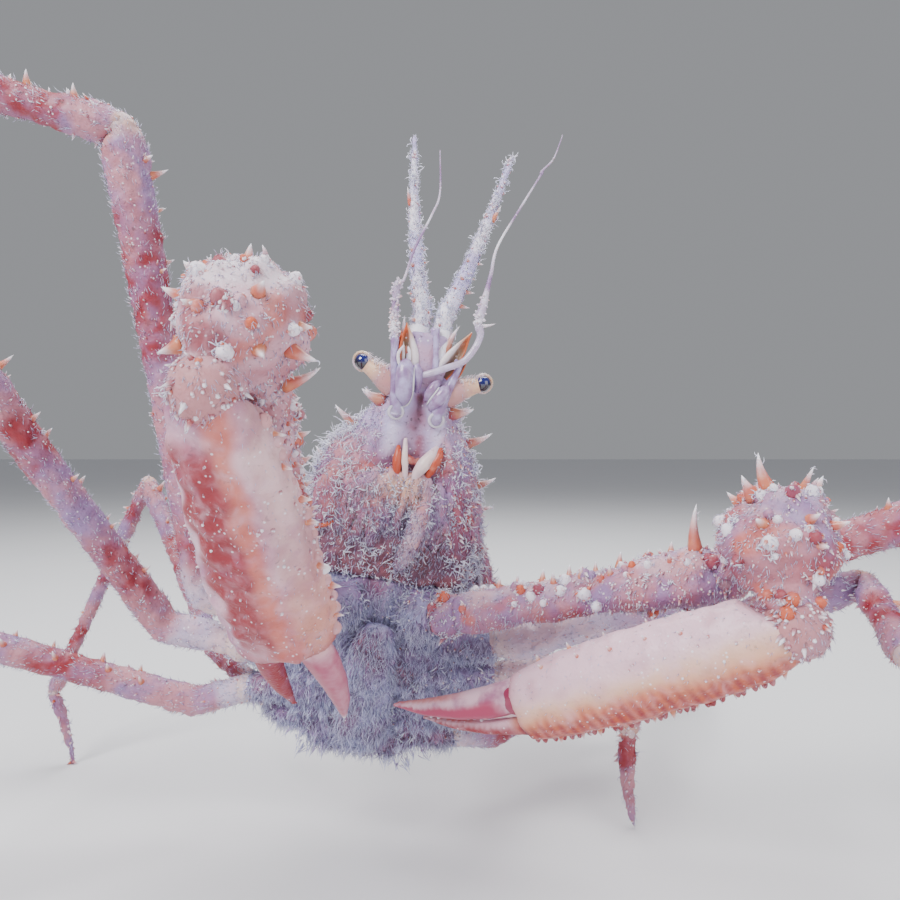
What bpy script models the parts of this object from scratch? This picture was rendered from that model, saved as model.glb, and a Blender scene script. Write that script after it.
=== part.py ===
"""Spiny spider crab, Naxioides robillardi, standing upright with both claws folded forward.

The crab faces the viewer with its underside: +X is its left side, +Y its back, +Z up.
Sizes are in millimetres and become metres when a mesh is made.
"""
import math
import random

import bpy
import bmesh
from mathutils import Matrix, Vector

# Units and fits
MM = 0.001
GAP = 0.3
LIMB_SIDES = 8
SPINE_SIDES = 5
BUMP_SIDES = 4
TIP_RADIUS = 0.16
SPINE_LEAN = 0.3
SPINE_SINK = 1.1
WELD = 0.000002
SHARP_ANGLE = 50.0
SIDES = {"left": 1, "right": -1}

# Where the origin lies in the crab's own space: under the middle of its box
ORIGIN = Vector((4.92, 8.35, 0.0))

# The body's own frame: x to its left, y to its back, and down along the body from the horn bases
BODY_PLACE = Vector((-4.0, -6.5, 95.0))
BODY_YAW = 4.0
BODY_PITCH = 12.0
BODY_ROLL = 11.0

# The shell: distance behind the horns, half width, height of the back
SHELL = [
    (-2.2, 4.0, 2.6), (3.0, 4.7, 4.2), (8.0, 5.4, 6.2), (13.0, 8.4, 8.6), (20.0, 12.3, 12.2),
    (30.0, 16.2, 17.2), (36.0, 17.4, 20.0), (42.0, 20.2, 22.0), (50.0, 25.0, 23.6),
    (58.0, 26.0, 23.4), (66.0, 23.4, 20.4), (73.0, 17.6, 14.4), (78.0, 10.6, 7.6),
    (80.5, 4.6, 2.6),
]
SHELL_SIDES = 24
SHELL_WAIST = 3.5
SHELL_WAIST_FROM = 40.0
SHELL_BELLY = 11.0
SHELL_FLOOR = -5.0

# The mouth field under the front of the shell: distance back, half width
MOUTH_FIELD = [(3.5, 3.6), (12.0, 6.4), (20.0, 10.4), (30.0, 14.4), (42.4, 16.4)]
MOUTH_TOP = 1.0
MOUTH_START_DEPTH = -3.6
MOUTH_SLOPE = -0.135

# The breastplate: distance back, half width, and its faces
BREAST = [(42.8, 13.0), (48.0, 15.5), (56.0, 17.0), (64.0, 16.6), (71.0, 13.6), (76.5, 8.0)]
BREAST_TOP = SHELL_FLOOR - GAP
BREAST_DEPTH = -11.0
BREAST_FRONT_DEPTH = -8.4
BREAST_FULL_FROM = 52.0

# The folded tail: distance back, half width
TAIL = [(49.5, 2.6), (53.0, 4.2), (60.0, 5.0), (67.0, 5.2), (72.0, 4.0), (74.2, 2.4)]
TAIL_THICKNESS = 2.2

# Horns, from their bases to their tips, for the left side
HORN_BASE = Vector((2.05, 0.4, 2.2))
HORN_FORK = Vector((7.0, 4.9, -24.5))
HORN_TIP = Vector((9.0, 7.2, -35.8))
HORN_PRONG = Vector((8.6, 4.2, -26.8))
HORN_RADII = (1.75, 1.6, 1.25, 0.85, 0.3)
HORN_STEM = 3.0
PRONG_RADIUS = 0.75
PRONG_SINK = Vector((0.0, 0.0, 1.6))

# Eyes, for the left side
ORBIT = Vector((7.5, -2.7, 6.4))
EYE = Vector((10.95, -1.85, 4.85))
ORBIT_SINK = Vector((3.6, -1.2, -0.6))
ORBIT_RADIUS = 2.3
STALK_RADIUS = 1.6
STALK_NECK = (1.35, 1.4)
CORNEA_RADIUS = 1.75
CORNEA_START = -1.25
CORNEA_RINGS = (-0.5, 0.2, 0.9, 1.4, 1.68)

# Feelers: the fixed first joint, for the left side, and the free parts as each side holds them
GREEN_GLAND = Vector((3.55, -5.0, 12.2))
GLAND_SINK = Vector((-0.6, 2.6, 2.2))
GLAND_RADII = (1.4, 1.7)
FEELER_JOINT = Vector((6.0, -3.2, 1.0))
FEELER_RADIUS = 1.3
FEELERS = {
    "right": [(-6.9, -1.9, -5.5), (-7.3, -1.6, -9.4), (-6.2, -2.0, -10.6), (-5.3, -0.8, -16.3),
              (-3.4, 0.4, -22.5), (-2.7, 1.7, -26.4), (-4.0, 3.4, -33.7)],
    "left": [(8.3, -3.1, -2.7), (8.0, -2.5, -5.3), (8.6, -0.2, -11.4), (9.1, 1.5, -19.5),
             (11.9, 3.3, -26.8), (14.3, 4.9, -32.7), (16.3, 5.6, -36.6), (17.3, 7.6, -41.5)],
}
FEELER_THICKNESS = (1.15, 0.95, 0.62, 0.5, 0.42, 0.36, 0.32, 0.3, 0.26)
FEELERLET_BASE = Vector((1.6, -4.9, 8.6))
FEELERLET_SINK = Vector((0.0, 2.4, 1.2))
FEELERLET_ROOT_RADII = (1.0, 0.9)
FEELERLET_RADII = (0.85, 0.8, 0.7, 0.3)
FEELERLETS = {
    "right": [(-1.7, -6.2, 6.4), (-2.0, -6.1, 3.4), (-2.2, -5.4, 1.8)],
    "left": [(1.7, -6.0, 6.0), (1.3, -5.4, 1.6), (0.8, -4.4, -2.4)],
}

# Outer mouthparts, for the left side
MOUTHPART = [(19.6, 1.4), (22.6, 3.0), (28.0, 3.5), (33.4, 3.1), (36.8, 1.6)]
MOUTHPART_MIDDLE = 3.9
MOUTHPART_THICKNESS = 2.4

# Spines of the shell: distance behind the horns, angle round the shell from its left edge,
# length, root radius, lean forward in degrees; those at 90 degrees stand on the midline
SHELL_SPINES = [
    (12.5, 12, 3.4, 1.1, 45), (18.0, -4, 5.6, 1.5, 48), (25.6, -4, 4.4, 1.3, 48),
    (31.0, 14, 3.4, 1.2, 20), (36.0, 30, 4.4, 1.3, 10), (47.0, 12, 6.0, 1.6, 5),
    (57.0, 14, 10.0, 2.0, -4), (66.0, 22, 6.0, 1.6, -18), (45.0, 50, 6.6, 1.6, 0),
    (60.0, 48, 6.4, 1.6, -10), (24.0, 50, 4.4, 1.3, 15), (22.0, 90, 7.0, 1.7, 15),
    (33.0, 90, 6.4, 1.6, 5), (50.0, 90, 8.0, 1.8, -5), (62.0, 90, 6.0, 1.6, -15),
    (72.0, 90, 9.5, 2.0, -35),
]
SHELL_BUMPS = 20
SHELL_BUMP = (1.5, 0.85)
SHELL_BUMP_BACKS = (16.0, 74.0)
BROW_SPINE = (Vector((2.6, -2.8, 4.0)), Vector((5.0, -1.2, -4.6)), 1.5)
BEHIND_EYE_SPINE = (Vector((6.4, -2.2, 11.0)), Vector((10.4, -2.4, 9.6)), 1.4)

# Bristle locks of the underside: length, half width, half thickness, and their rows on the
# breastplate as distance back and share of its half width
LOCK_SIZE = (3.4, 0.85, 0.28)
LOCK_ROWS = [(52.0, 0.58), (56.5, 0.74), (60.5, 0.58), (64.0, 0.76), (68.0, 0.64), (72.0, 0.8),
             (75.0, 0.8)]
LOCK_FAN = (-0.14, 0.0, 0.14)

# Rows of spines and bumps on the limbs: angle round the limb from its front edge, number, length,
# root radius, and the shares of the limb's length between which the row runs
HORN_TUFTS = [(0.0, 5, 1.3, 0.55, 0.1, 0.62), (125.0, 5, 1.3, 0.55, 0.16, 0.66),
              (240.0, 5, 1.3, 0.55, 0.06, 0.6)]
LEG_ROWS = {
    "merus": [(62.0, 5, 1.7, 0.8, 0.18, 0.9), (118.0, 5, 1.7, 0.8, 0.24, 0.86),
              (90.0, 1, 3.2, 1.1, 0.9, 0.9)],
    "carpus": [(70.0, 3, 1.5, 0.75, 0.3, 0.8), (112.0, 2, 1.5, 0.75, 0.36, 0.7)],
    "propodus": [(72.0, 4, 1.2, 0.65, 0.16, 0.7), (114.0, 3, 1.2, 0.65, 0.22, 0.62)],
}
CLAW_MERUS_ROWS = [(6.0, 8, 1.7, 0.85, 0.16, 0.84), (48.0, 6, 1.3, 0.8, 0.3, 0.86),
                   (-40.0, 5, 1.5, 0.8, 0.3, 0.86)]
PALM_ROWS = {
    "left": [(180.0, 13, 1.0, 0.8, 0.08, 0.98), (8.0, 4, 0.9, 0.8, 0.45, 0.9),
             (-42.0, 5, 0.8, 0.75, 0.3, 0.85)],
    "right": [(6.0, 7, 1.3, 0.9, 0.12, 0.86), (180.0, 9, 0.8, 0.75, 0.14, 0.9),
              (-42.0, 5, 0.8, 0.75, 0.3, 0.8)],
}

# The long spine at the end of each claw arm: its root, tip and root radius, in standing space
ARM_SPURS = {
    "left": (Vector((37.2, -29.6, 59.4)), Vector((36.5, -31.5, 68.1)), 1.4),
    "right": (Vector((-22.6, -46.6, 83.8)), Vector((-16.3, -47.5, 86.5)), 1.4),
}

# Spines of the claw's wrist lump: the way each tip lies from the lump's middle, and root radius
KNOB_SPINES = {
    "left": [((-3.4, -1.0, 12.1), 1.5), ((-5.6, -0.8, 9.0), 1.9), ((3.0, -3.6, 10.3), 0.9),
             ((6.2, 0.4, 8.9), 1.7), ((8.9, 2.0, -4.2), 1.4), ((1.5, -8.4, 4.4), 1.1), ((2.3, -9.0, 0.3), 1.1),
             ((-1.3, -8.9, 1.8), 1.2), ((-5.9, -6.5, 3.6), 1.2), ((6.6, -6.0, 3.2), 1.1),
             ((8.0, 4.6, 2.8), 1.4), ((0.6, 7.6, 6.2), 1.4), ((-5.6, 4.6, 6.4), 1.2)],
    "right": [((9.6, -2.4, -4.6), 1.3), ((8.9, -2.0, -0.6), 1.4), ((7.6, -1.0, 4.9), 1.4),
              ((1.9, -2.4, 8.9), 1.5), ((-5.8, -2.6, 6.9), 1.7), ((-9.6, 0.6, 4.6), 1.6),
              ((-9.0, -2.2, -3.6), 1.7), ((4.4, -6.6, -4.6), 1.5), ((0.8, -8.9, 1.6), 1.2),
              ((-4.2, -8.0, 1.4), 1.2), ((4.6, -7.2, 3.6), 1.2), ((4.9, 4.6, 6.6), 1.4)],
}

# Walking legs: lengths of hip stub, ischium and the four free joints, and their radii
LEG_SIZES = {
    "p2": dict(root=(17.0, -8.9, 52.0), merus=80.0, carpus=27.0, propodus=67.0, dactyl=23.0,
               radius=3.6),
    "p3": dict(root=(18.5, -8.9, 59.0), merus=60.0, carpus=23.0, propodus=56.0, dactyl=21.0,
               radius=3.3),
    "p4": dict(root=(17.5, -8.9, 66.0), merus=51.0, carpus=20.0, propodus=44.0, dactyl=18.0,
               radius=3.0),
    "p5": dict(root=(14.5, -8.7, 72.0), merus=48.0, carpus=15.7, propodus=40.0, dactyl=18.0,
               radius=2.2),
}
HIP_STUB = 5.0
HIP_SWELL = 0.86
# How far a joint face reaches back from a bend, in radii: the least, and for each unit of tangent
TURN_CLEAR = (0.75, 1.3)
LONG_JOINT = 12.0

# How each leg is held: azimuth from +X towards +Y and elevation, in degrees, of the ischium,
# merus, carpus, propodus and dactyl. A propodus elevation of None lets the foot find the floor.
LEG_POSES = {
    ("right", "p2"): dict(ischium=(188.1, 16.5, 14.7), merus=(-131.7, 79.0), carpus=(-172.3, 13.8),
                          propodus=(-171.8, -43.2), dactyl=(-169.7, -62.0)),
    ("right", "p3"): dict(ischium=(172.8, 8.6, 20.9), merus=(-132.3, 55.2), carpus=(-158.6, -42.0),
                          propodus=(-157.0, None), dactyl=(-150.0, -85.0)),
    ("right", "p4"): dict(ischium=(155.3, -18.4, 19.6), merus=(-173.0, 17.9),
                          carpus=(-178.5, -4.4), propodus=(178.2, None), dactyl=(175.0, -64.0)),
    ("right", "p5"): dict(ischium=(135.1, 14.7, 27.8), merus=(135.1, 46.4), carpus=(175.7, -65.2),
                          propodus=(-170.9, None), dactyl=(0.0, -74.5)),
    ("left", "p2"): dict(ischium=(-11.8, 6.1, 11.0), merus=(-5.6, 18.6), carpus=(-10.5, 2.1),
                         propodus=(-9.9, None), dactyl=(-7.1, -66.0)),
    ("left", "p3"): dict(ischium=(2.6, 3.7, 16.0), merus=(-2.4, 16.6), carpus=(-102.2, -19.8),
                         propodus=(-72.6, None), dactyl=(-69.0, -55.0)),
    ("left", "p4"): dict(ischium=(21.3, -6.2, 13.3), merus=(75.0, 12.0), carpus=(-10.0, 7.0),
                         propodus=(-104.0, None), dactyl=(-80.0, -80.0)),
    ("left", "p5"): dict(ischium=(54.9, -18.3, 22.1), merus=(34.4, 12.3), carpus=(58.4, 24.6),
                         propodus=(61.7, None), dactyl=(74.1, -50.0)),
}
FOOT_RADIUS = 0.5
TOE_BOW = 0.7

# Claw legs: the hip and shoulder on the body for the left side, and where each arm is held
CLAW_ROOT = Vector((5.5, -9.6, 47.0))
CLAW_HIP = Vector((10.1, -13.1, 46.0))
CLAW_SHOULDER = Vector((14.0, -15.2, 43.8))
CLAW_ARMS = {
    "left": dict(elbow=Vector((40.9, -30.5, 57.6)), knob=Vector((45.3, -39.5, 63.6)),
                 wrist=Vector((45.0, -43.5, 52.4)), knuckle=Vector((12.1, -23.5, 35.5)),
                 tip=Vector((-9.6, -14.5, 32.6)), thumb_tip=Vector((-4.6, -13.2, 30.0)),
                 up=Vector((0.0, 0.0, 1.0))),
    "right": dict(elbow=Vector((-24.8, -48.3, 85.1)), knob=Vector((-24.6, -54.5, 90.7)),
                  wrist=Vector((-27.1, -58.5, 82.2)), knuckle=Vector((-23.5, -34.5, 48.9)),
                  tip=Vector((-17.4, -18.5, 31.7)), thumb_tip=Vector((-25.2, -20.5, 34.8)),
                  up=Vector((1.0, 0.0, 0.0))),
}
CLAW_HIP_RADIUS = 4.0
CLAW_ARM_RADIUS = 4.2
CLAW_ARM_GROWTH = 0.3
KNOB_RADIUS = 7.7
KNOB_RINGS = (14, 9)
PALM_SIDES = 12
PALM_HALF_SIZES = {
    "left": [(0.0, 4.6, 4.0), (0.12, 5.7, 4.7), (0.3, 6.3, 5.4), (0.56, 6.6, 5.8),
             (0.8, 6.3, 5.5), (1.0, 5.5, 4.7)],
    "right": [(0.0, 4.8, 3.9), (0.12, 6.2, 4.6), (0.3, 7.1, 5.4), (0.56, 7.9, 6.0),
              (0.8, 8.4, 5.8), (1.0, 7.5, 4.8)],
}
FINGER_RADII = (2.9, 2.7, 2.2, 1.5, 0.45)
THUMB_RADII = {"left": (1.75, 1.5, 1.25, 0.95, 0.4), "right": (2.6, 2.4, 2.0, 1.4, 0.45)}
FINGER_OFFSET = {"left": 1.9, "right": 2.9}
THUMB_OFFSET = {"left": 3.1, "right": 3.2}
THUMB_SINK = 3.0
# How far each finger bows up across the palm's width: the movable one and the fixed one
FINGER_BOWS = {"left": (-1.2, -1.4), "right": (1.1, -1.1)}

# Colours
LILAC = (0.62, 0.42, 0.52)
ROSE = (0.55, 0.16, 0.19)
IVORY = (0.75, 0.66, 0.62)
MAGENTA = (0.50, 0.10, 0.20)
EYE_BLUE = (0.01, 0.012, 0.05)
MOUTH_BROWN = (0.36, 0.22, 0.20)


def clear_scene():
    for item in list(bpy.data.objects):
        bpy.data.objects.remove(item, do_unlink=True)


def new_collection(name):
    collection = bpy.data.collections.new(name)
    bpy.context.scene.collection.children.link(collection)
    return collection


def body_matrix():
    roll = Matrix.Rotation(math.radians(BODY_ROLL), 4, "Y")
    pitch = Matrix.Rotation(math.radians(BODY_PITCH), 4, "X")
    yaw = Matrix.Rotation(math.radians(BODY_YAW), 4, "Z")
    return Matrix.Translation(BODY_PLACE) @ roll @ pitch @ yaw


def on_side(point, side):
    """A left-side place of the body, carried to the given side."""
    return Vector((point.x * SIDES[side], point.y, -point.z))


def on_body(point, side):
    """A left-side place of the body, in the crab's standing space."""
    return body_matrix() @ on_side(point, side)


def heading(azimuth, elevation):
    """A unit direction from an azimuth and an elevation in degrees."""
    turn = math.radians(azimuth)
    rise = math.radians(elevation)
    return Vector((math.cos(turn) * math.cos(rise), math.sin(turn) * math.cos(rise), math.sin(rise)))


def section(centre, normal, hint, rx, ry):
    """The matrix that carries a unit circle to an ellipse across a limb."""
    along = normal.normalized()
    first = (hint - along * hint.dot(along)).normalized()
    second = along.cross(first)
    matrix = Matrix((first * rx, second * ry, along)).transposed().to_4x4()
    matrix.translation = centre
    return matrix


def loft(mesh, sections, sides=LIMB_SIDES, outline=None):
    """A closed skin over a row of sections, drawn out ring by ring."""
    ring = bmesh.ops.create_circle(mesh, cap_ends=False, radius=1.0, segments=sides)["verts"]
    edges = [edge for edge in mesh.edges if edge.verts[0] in ring and edge.verts[1] in ring]
    if outline:
        for vert in ring:
            vert.co = outline(vert.co)
    bmesh.ops.transform(mesh, matrix=sections[0], verts=ring)
    first_edges = list(edges)
    for before, after in zip(sections, sections[1:]):
        made = bmesh.ops.extrude_edge_only(mesh, edges=edges)["geom"]
        ring = [item for item in made if isinstance(item, bmesh.types.BMVert)]
        edges = [item for item in made if isinstance(item, bmesh.types.BMEdge)
                 and item.verts[0] in ring and item.verts[1] in ring]
        bmesh.ops.transform(mesh, matrix=after @ before.inverted(), verts=ring)
    bmesh.ops.contextual_create(mesh, geom=first_edges)
    bmesh.ops.contextual_create(mesh, geom=edges)
    bmesh.ops.recalc_face_normals(mesh, faces=mesh.faces)


def shape(name, collection, build, *values, **options):
    """An object whose mesh the given function builds in millimetres."""
    mesh = bmesh.new()
    build(mesh, *values, **options)
    bmesh.ops.scale(mesh, vec=(MM, MM, MM), verts=mesh.verts)
    data = bpy.data.meshes.new(name)
    mesh.to_mesh(data)
    mesh.free()
    item = bpy.data.objects.new(name, data)
    collection.objects.link(item)
    return item


def keep_largest_surface(mesh):
    """Drops every closed surface but the one with most faces."""
    waiting = set(mesh.faces)
    largest = set()
    while waiting:
        start = waiting.pop()
        surface = {start}
        front = [start]
        while front:
            face = front.pop()
            for edge in face.edges:
                for other in edge.link_faces:
                    if other in waiting:
                        waiting.remove(other)
                        surface.add(other)
                        front.append(other)
        if len(surface) > len(largest):
            largest = surface
    bmesh.ops.delete(mesh, geom=[face for face in mesh.faces if face not in largest],
                     context="FACES")


def join_with(item, additions):
    """One union of an object with a collection of closed pieces, which are then removed."""
    modifier = item.modifiers.new("Union", "BOOLEAN")
    modifier.operation = "UNION"
    modifier.operand_type = "COLLECTION"
    modifier.collection = additions
    modifier.solver = "EXACT"
    bpy.context.view_layer.update()
    joined = bpy.data.meshes.new_from_object(
        item.evaluated_get(bpy.context.evaluated_depsgraph_get()))
    item.modifiers.clear()
    item.data = joined
    for piece in list(additions.objects):
        bpy.data.objects.remove(piece, do_unlink=True)
    bpy.data.collections.remove(additions)
    mesh = bmesh.new()
    mesh.from_mesh(joined)
    bmesh.ops.remove_doubles(mesh, verts=mesh.verts, dist=WELD)
    bmesh.ops.dissolve_degenerate(mesh, edges=mesh.edges, dist=WELD)
    keep_largest_surface(mesh)
    mesh.to_mesh(joined)
    mesh.free()


def finish(item, colour, roughness, parent, metallic=0.0):
    """Gives a piece its own material, smooth shading and its parent."""
    material = bpy.data.materials.new(item.name)
    material.use_nodes = True
    surface = material.node_tree.nodes["Principled BSDF"]
    surface.inputs["Base Color"].default_value = (*colour, 1.0)
    surface.inputs["Roughness"].default_value = roughness
    surface.inputs["Metallic"].default_value = metallic
    item.data.materials.clear()
    item.data.materials.append(material)
    item.data.shade_smooth()
    item.data.set_sharp_from_angle(angle=math.radians(SHARP_ANGLE))
    item.parent = parent


def tube(mesh, points, radii, hint, first=None, last=None, sides=LIMB_SIDES):
    """A round limb along a row of points, square to its run or to the given end faces."""
    sections = []
    for index, (point, radius) in enumerate(zip(points, radii)):
        before = points[max(index - 1, 0)]
        after = points[min(index + 1, len(points) - 1)]
        normal = (after - before).normalized()
        if index == 0 and first:
            normal = first
        if index == len(points) - 1 and last:
            normal = last
        sizes = radius if isinstance(radius, tuple) else (radius, radius)
        sections.append(section(point, normal, hint, *sizes))
    loft(mesh, sections, sides)


def spine(mesh, root, tip, radius, sides=SPINE_SIDES):
    """A tapered spine with its root sunk into what carries it."""
    run = tip - root
    hint = Vector((0.31, 0.52, 0.79)) if abs(run.normalized().z) < 0.7 else Vector((0.9, 0.4, 0.1))
    loft(mesh, [section(root, run, hint, radius, radius),
                section(tip, run, hint, TIP_RADIUS, TIP_RADIUS)], sides)


def read_table(table, at):
    """The sizes that a table of stations gives at a place between its rows."""
    for (near, *sizes), (far, *next_sizes) in zip(table, table[1:]):
        if near <= at <= far:
            share = (at - near) / (far - near)
            return [size + (after - size) * share for size, after in zip(sizes, next_sizes)]
    return table[-1][1:]


def lock(mesh, root, way, lie):
    """A flat bristle lock that tapers and bends over along its lie."""
    length, half_width, half_thickness = LOCK_SIZE
    across = way.cross(lie).normalized()
    middle = root + way * length * 0.55 + lie * length * 0.12
    tip = root + way * length + lie * length * 0.4
    sections = [section(root - way, way, across, half_width, half_thickness),
                section(middle, tip - root, across, half_width * 0.8, half_thickness),
                section(tip, tip - middle, across, TIP_RADIUS * 1.3, TIP_RADIUS)]
    loft(mesh, sections, 4)


def grow_rows(extra, start, end, hint, skin, rows, seed):
    """Rows of spines along a limb, each set on its skin and leaning towards its end."""
    draw = random.Random(seed)
    run = end - start
    way = run.normalized()
    for angle, count, length, radius, near, far in rows:
        for index in range(count):
            share = near + (far - near) * index / max(count - 1, 1)
            if count > 1:
                share += draw.uniform(-0.25, 0.25) * (far - near) / count
            turn = math.radians(angle + (draw.uniform(-9.0, 9.0) if count > 1 else 0.0))
            place = start.lerp(end, share)
            high, thick = skin(share)
            matrix = section(place, way, hint, high, thick)
            surface = matrix @ Vector((math.cos(turn), math.sin(turn), 0.0))
            flat = section(place, way, hint, 1.0 / high, 1.0 / thick)
            outward = (flat @ Vector((math.cos(turn), math.sin(turn), 0.0)) - place).normalized()
            size = draw.uniform(0.75, 1.2) if count > 1 else 1.0
            tip = surface + (outward + way * SPINE_LEAN).normalized() * length * size
            shape("spine", extra, spine, surface - outward * radius * SPINE_SINK, tip,
                  radius * size, sides=BUMP_SIDES if count > 1 else SPINE_SIDES)


# The shell

def shell_waist(back):
    """How far the widest line of the shell lies above the body's axis."""
    return SHELL_WAIST * min(max(back, 0.0) / SHELL_WAIST_FROM, 1.0)


def shell_place(back, angle):
    """A place on the shell and the direction out of it."""
    half_width, height = read_table(SHELL, back)
    turn = math.radians(angle)
    waist = shell_waist(back)
    rise = height - waist if angle >= 0 else SHELL_BELLY
    place = Vector((half_width * math.cos(turn), waist + rise * math.sin(turn), -back))
    outward = Vector((math.cos(turn) / half_width, math.sin(turn) / rise, 0.0)).normalized()
    return place, outward


def build_shell(mesh):
    first_back, first_width, first_height = SHELL[0]
    ring = bmesh.ops.create_circle(mesh, cap_ends=False, radius=1.0, segments=SHELL_SIDES)["verts"]
    edges = list(mesh.edges)
    angles = [math.atan2(vert.co.y, vert.co.x) for vert in ring]
    first_edges = list(edges)

    def place_ring(verts, back, half_width, height):
        belly = min(SHELL_BELLY, half_width * 0.9)
        waist = min(shell_waist(back), height * 0.8)
        for vert, angle in zip(verts, angles):
            rise = (height - waist) if math.sin(angle) > 0 else belly
            y = waist + rise * math.sin(angle)
            vert.co = Vector((half_width * math.cos(angle), max(y, SHELL_FLOOR), -back))

    place_ring(ring, first_back, first_width, first_height)
    for back, half_width, height in SHELL[1:]:
        made = bmesh.ops.extrude_edge_only(mesh, edges=edges)["geom"]
        fresh = [item for item in made if isinstance(item, bmesh.types.BMVert)]
        edges = [item for item in made if isinstance(item, bmesh.types.BMEdge)
                 and item.verts[0] in fresh and item.verts[1] in fresh]
        ring = fresh
        place_ring(ring, back, half_width, height)
    bmesh.ops.contextual_create(mesh, geom=first_edges)
    bmesh.ops.contextual_create(mesh, geom=edges)
    bmesh.ops.recalc_face_normals(mesh, faces=mesh.faces)


def mouth_depth(back):
    return MOUTH_START_DEPTH + MOUTH_SLOPE * (back - MOUTH_FIELD[0][0])


def slab(mesh, stations, top, bottom, middle=0.0, edge=0.78):
    """A flat plate along the body from its half widths; top and bottom give its faces."""
    sections = []
    for back, half_width in stations:
        upper = top(back)
        lower = bottom(back)
        centre = Vector((middle, (upper + lower) / 2.0, -back))
        matrix = Matrix(((half_width, 0.0, 0.0, centre.x), (0.0, (upper - lower) / 2.0, 0.0, centre.y),
                         (0.0, 0.0, 1.0, centre.z), (0.0, 0.0, 0.0, 1.0)))
        sections.append(matrix)

    def rounded_box(point):
        angle = math.atan2(point.y, point.x)
        step = round(math.degrees(angle) / 45.0)
        corner = step % 2
        x = math.copysign(1.0 if step % 4 == 0 else edge, point.x) if step % 4 != 2 else 0.0
        y = math.copysign(1.0, point.y) if corner or step % 4 == 2 else 0.0
        return Vector((x, y, 0.0))

    loft(mesh, sections, 8, rounded_box)


def build_mouth_field(mesh):
    slab(mesh, MOUTH_FIELD, lambda back: MOUTH_TOP, mouth_depth)


def spread_bumps(extra):
    """Small bumps over the back, between the spines."""
    draw = random.Random(7)
    length, radius = SHELL_BUMP
    for _ in range(SHELL_BUMPS):
        place, outward = shell_place(draw.uniform(*SHELL_BUMP_BACKS), draw.uniform(18.0, 162.0))
        shape("bump", extra, spine, place - outward * radius * SPINE_SINK,
              place + outward * length, radius, sides=BUMP_SIDES)


def make_shell(part, body):
    shell = shape("carapace", part, build_shell)
    extra = new_collection("shell_additions")
    shape("mouth_field", extra, build_mouth_field)
    for side in SIDES:
        shape("orbit", extra, tube, [on_side(ORBIT - ORBIT_SINK, side), on_side(ORBIT, side)],
              (ORBIT_RADIUS, STALK_RADIUS), Vector((0, 1, 0)), last=stalk_heading(side))
        joint = on_side(FEELER_JOINT, side)
        gland = on_side(GREEN_GLAND, side)
        deep = on_side(GREEN_GLAND + GLAND_SINK, side)
        shape("feeler_root", extra, tube, [deep, gland, joint], (*GLAND_RADII, FEELER_RADIUS),
              Vector((0, 1, 0)))
        shape("feelerlet_root", extra, tube,
              [on_side(FEELERLET_BASE + FEELERLET_SINK, side), on_side(FEELERLET_BASE, side)],
              FEELERLET_ROOT_RADII, Vector((1, 0, 0)))
        for root, tip, radius in (BROW_SPINE, BEHIND_EYE_SPINE):
            shape("brow_spine", extra, spine, on_side(root, side), on_side(tip, side), radius)
    for back, angle, length, radius, lean in SHELL_SPINES:
        for side in SIDES:
            if angle == 90 and side == "right":
                continue
            place, outward = shell_place(back, angle)
            forward = math.radians(lean)
            run = outward * math.cos(forward) + Vector((0.0, 0.0, 1.0)) * math.sin(forward)
            root = place - outward * radius * 1.6
            tip = place + run * length
            if side == "right":
                root.x = -root.x
                tip.x = -tip.x
            shape("shell_spine", extra, spine, root, tip, radius)
    spread_bumps(extra)
    join_with(shell, extra)
    finish(shell, LILAC, 0.6, body)


def stalk_heading(side):
    return (on_side(EYE, side) - on_side(ORBIT, side)).normalized()


def breast_depth(back):
    share = min((back - BREAST[0][0]) / (BREAST_FULL_FROM - BREAST[0][0]), 1.0)
    return BREAST_FRONT_DEPTH + (BREAST_DEPTH - BREAST_FRONT_DEPTH) * share


def place_locks(extra):
    """Tufts of locks in rows along each side of the breastplate, combed outwards and back."""
    for back, share in LOCK_ROWS:
        half_width = read_table(BREAST, back)[0]
        for side in SIDES.values():
            for fan in LOCK_FAN:
                root = Vector((side * half_width * (share + fan), breast_depth(back), -back))
                way = Vector((side * fan * 2.0, -1.0, -0.25)).normalized()
                lie = Vector((side * (0.5 + fan), 0.0, -0.8)).normalized()
                shape("lock", extra, lock, root, way, lie)


def make_breast(part, body):
    breast = shape("thorax", part, slab, BREAST, lambda back: BREAST_TOP, breast_depth, edge=0.82)
    extra = new_collection("breast_additions")
    to_body = body_matrix().inverted()
    for (side, pair) in LEG_POSES:
        leg = solve_leg(side, pair)
        root = on_side(Vector(LEG_SIZES[pair]["root"]), side)
        inner = Vector((root.x * 0.5, root.y, root.z))
        hip = to_body @ leg["hip"]
        radius = LEG_SIZES[pair]["radius"] * HIP_SWELL
        shape("coxa", extra, tube, [inner, root, hip], (radius, radius, radius),
              Vector((0, 0, 1)), last=(hip - root).normalized())
    for side in SIDES:
        hip = on_side(CLAW_HIP, side)
        way = (on_side(CLAW_SHOULDER, side) - hip).normalized()
        shape("claw_coxa", extra, tube, [on_side(CLAW_ROOT, side), hip - way * 2.2, hip],
              (CLAW_HIP_RADIUS, CLAW_HIP_RADIUS, CLAW_HIP_RADIUS * 0.9), Vector((0, 0, 1)), last=way)
    place_locks(extra)
    join_with(breast, extra)
    finish(breast, LILAC, 0.65, body)


def make_tail(part, body):
    tail = shape("abdomen", part, slab, TAIL, lambda back: BREAST_DEPTH - GAP,
                 lambda back: BREAST_DEPTH - GAP - TAIL_THICKNESS, edge=0.7)
    finish(tail, LILAC, 0.6, body)


# The head's own pieces

def horn_skin(share):
    radius = HORN_RADII[0] + (HORN_RADII[-2] - HORN_RADII[0]) * share
    return radius, radius


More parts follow.
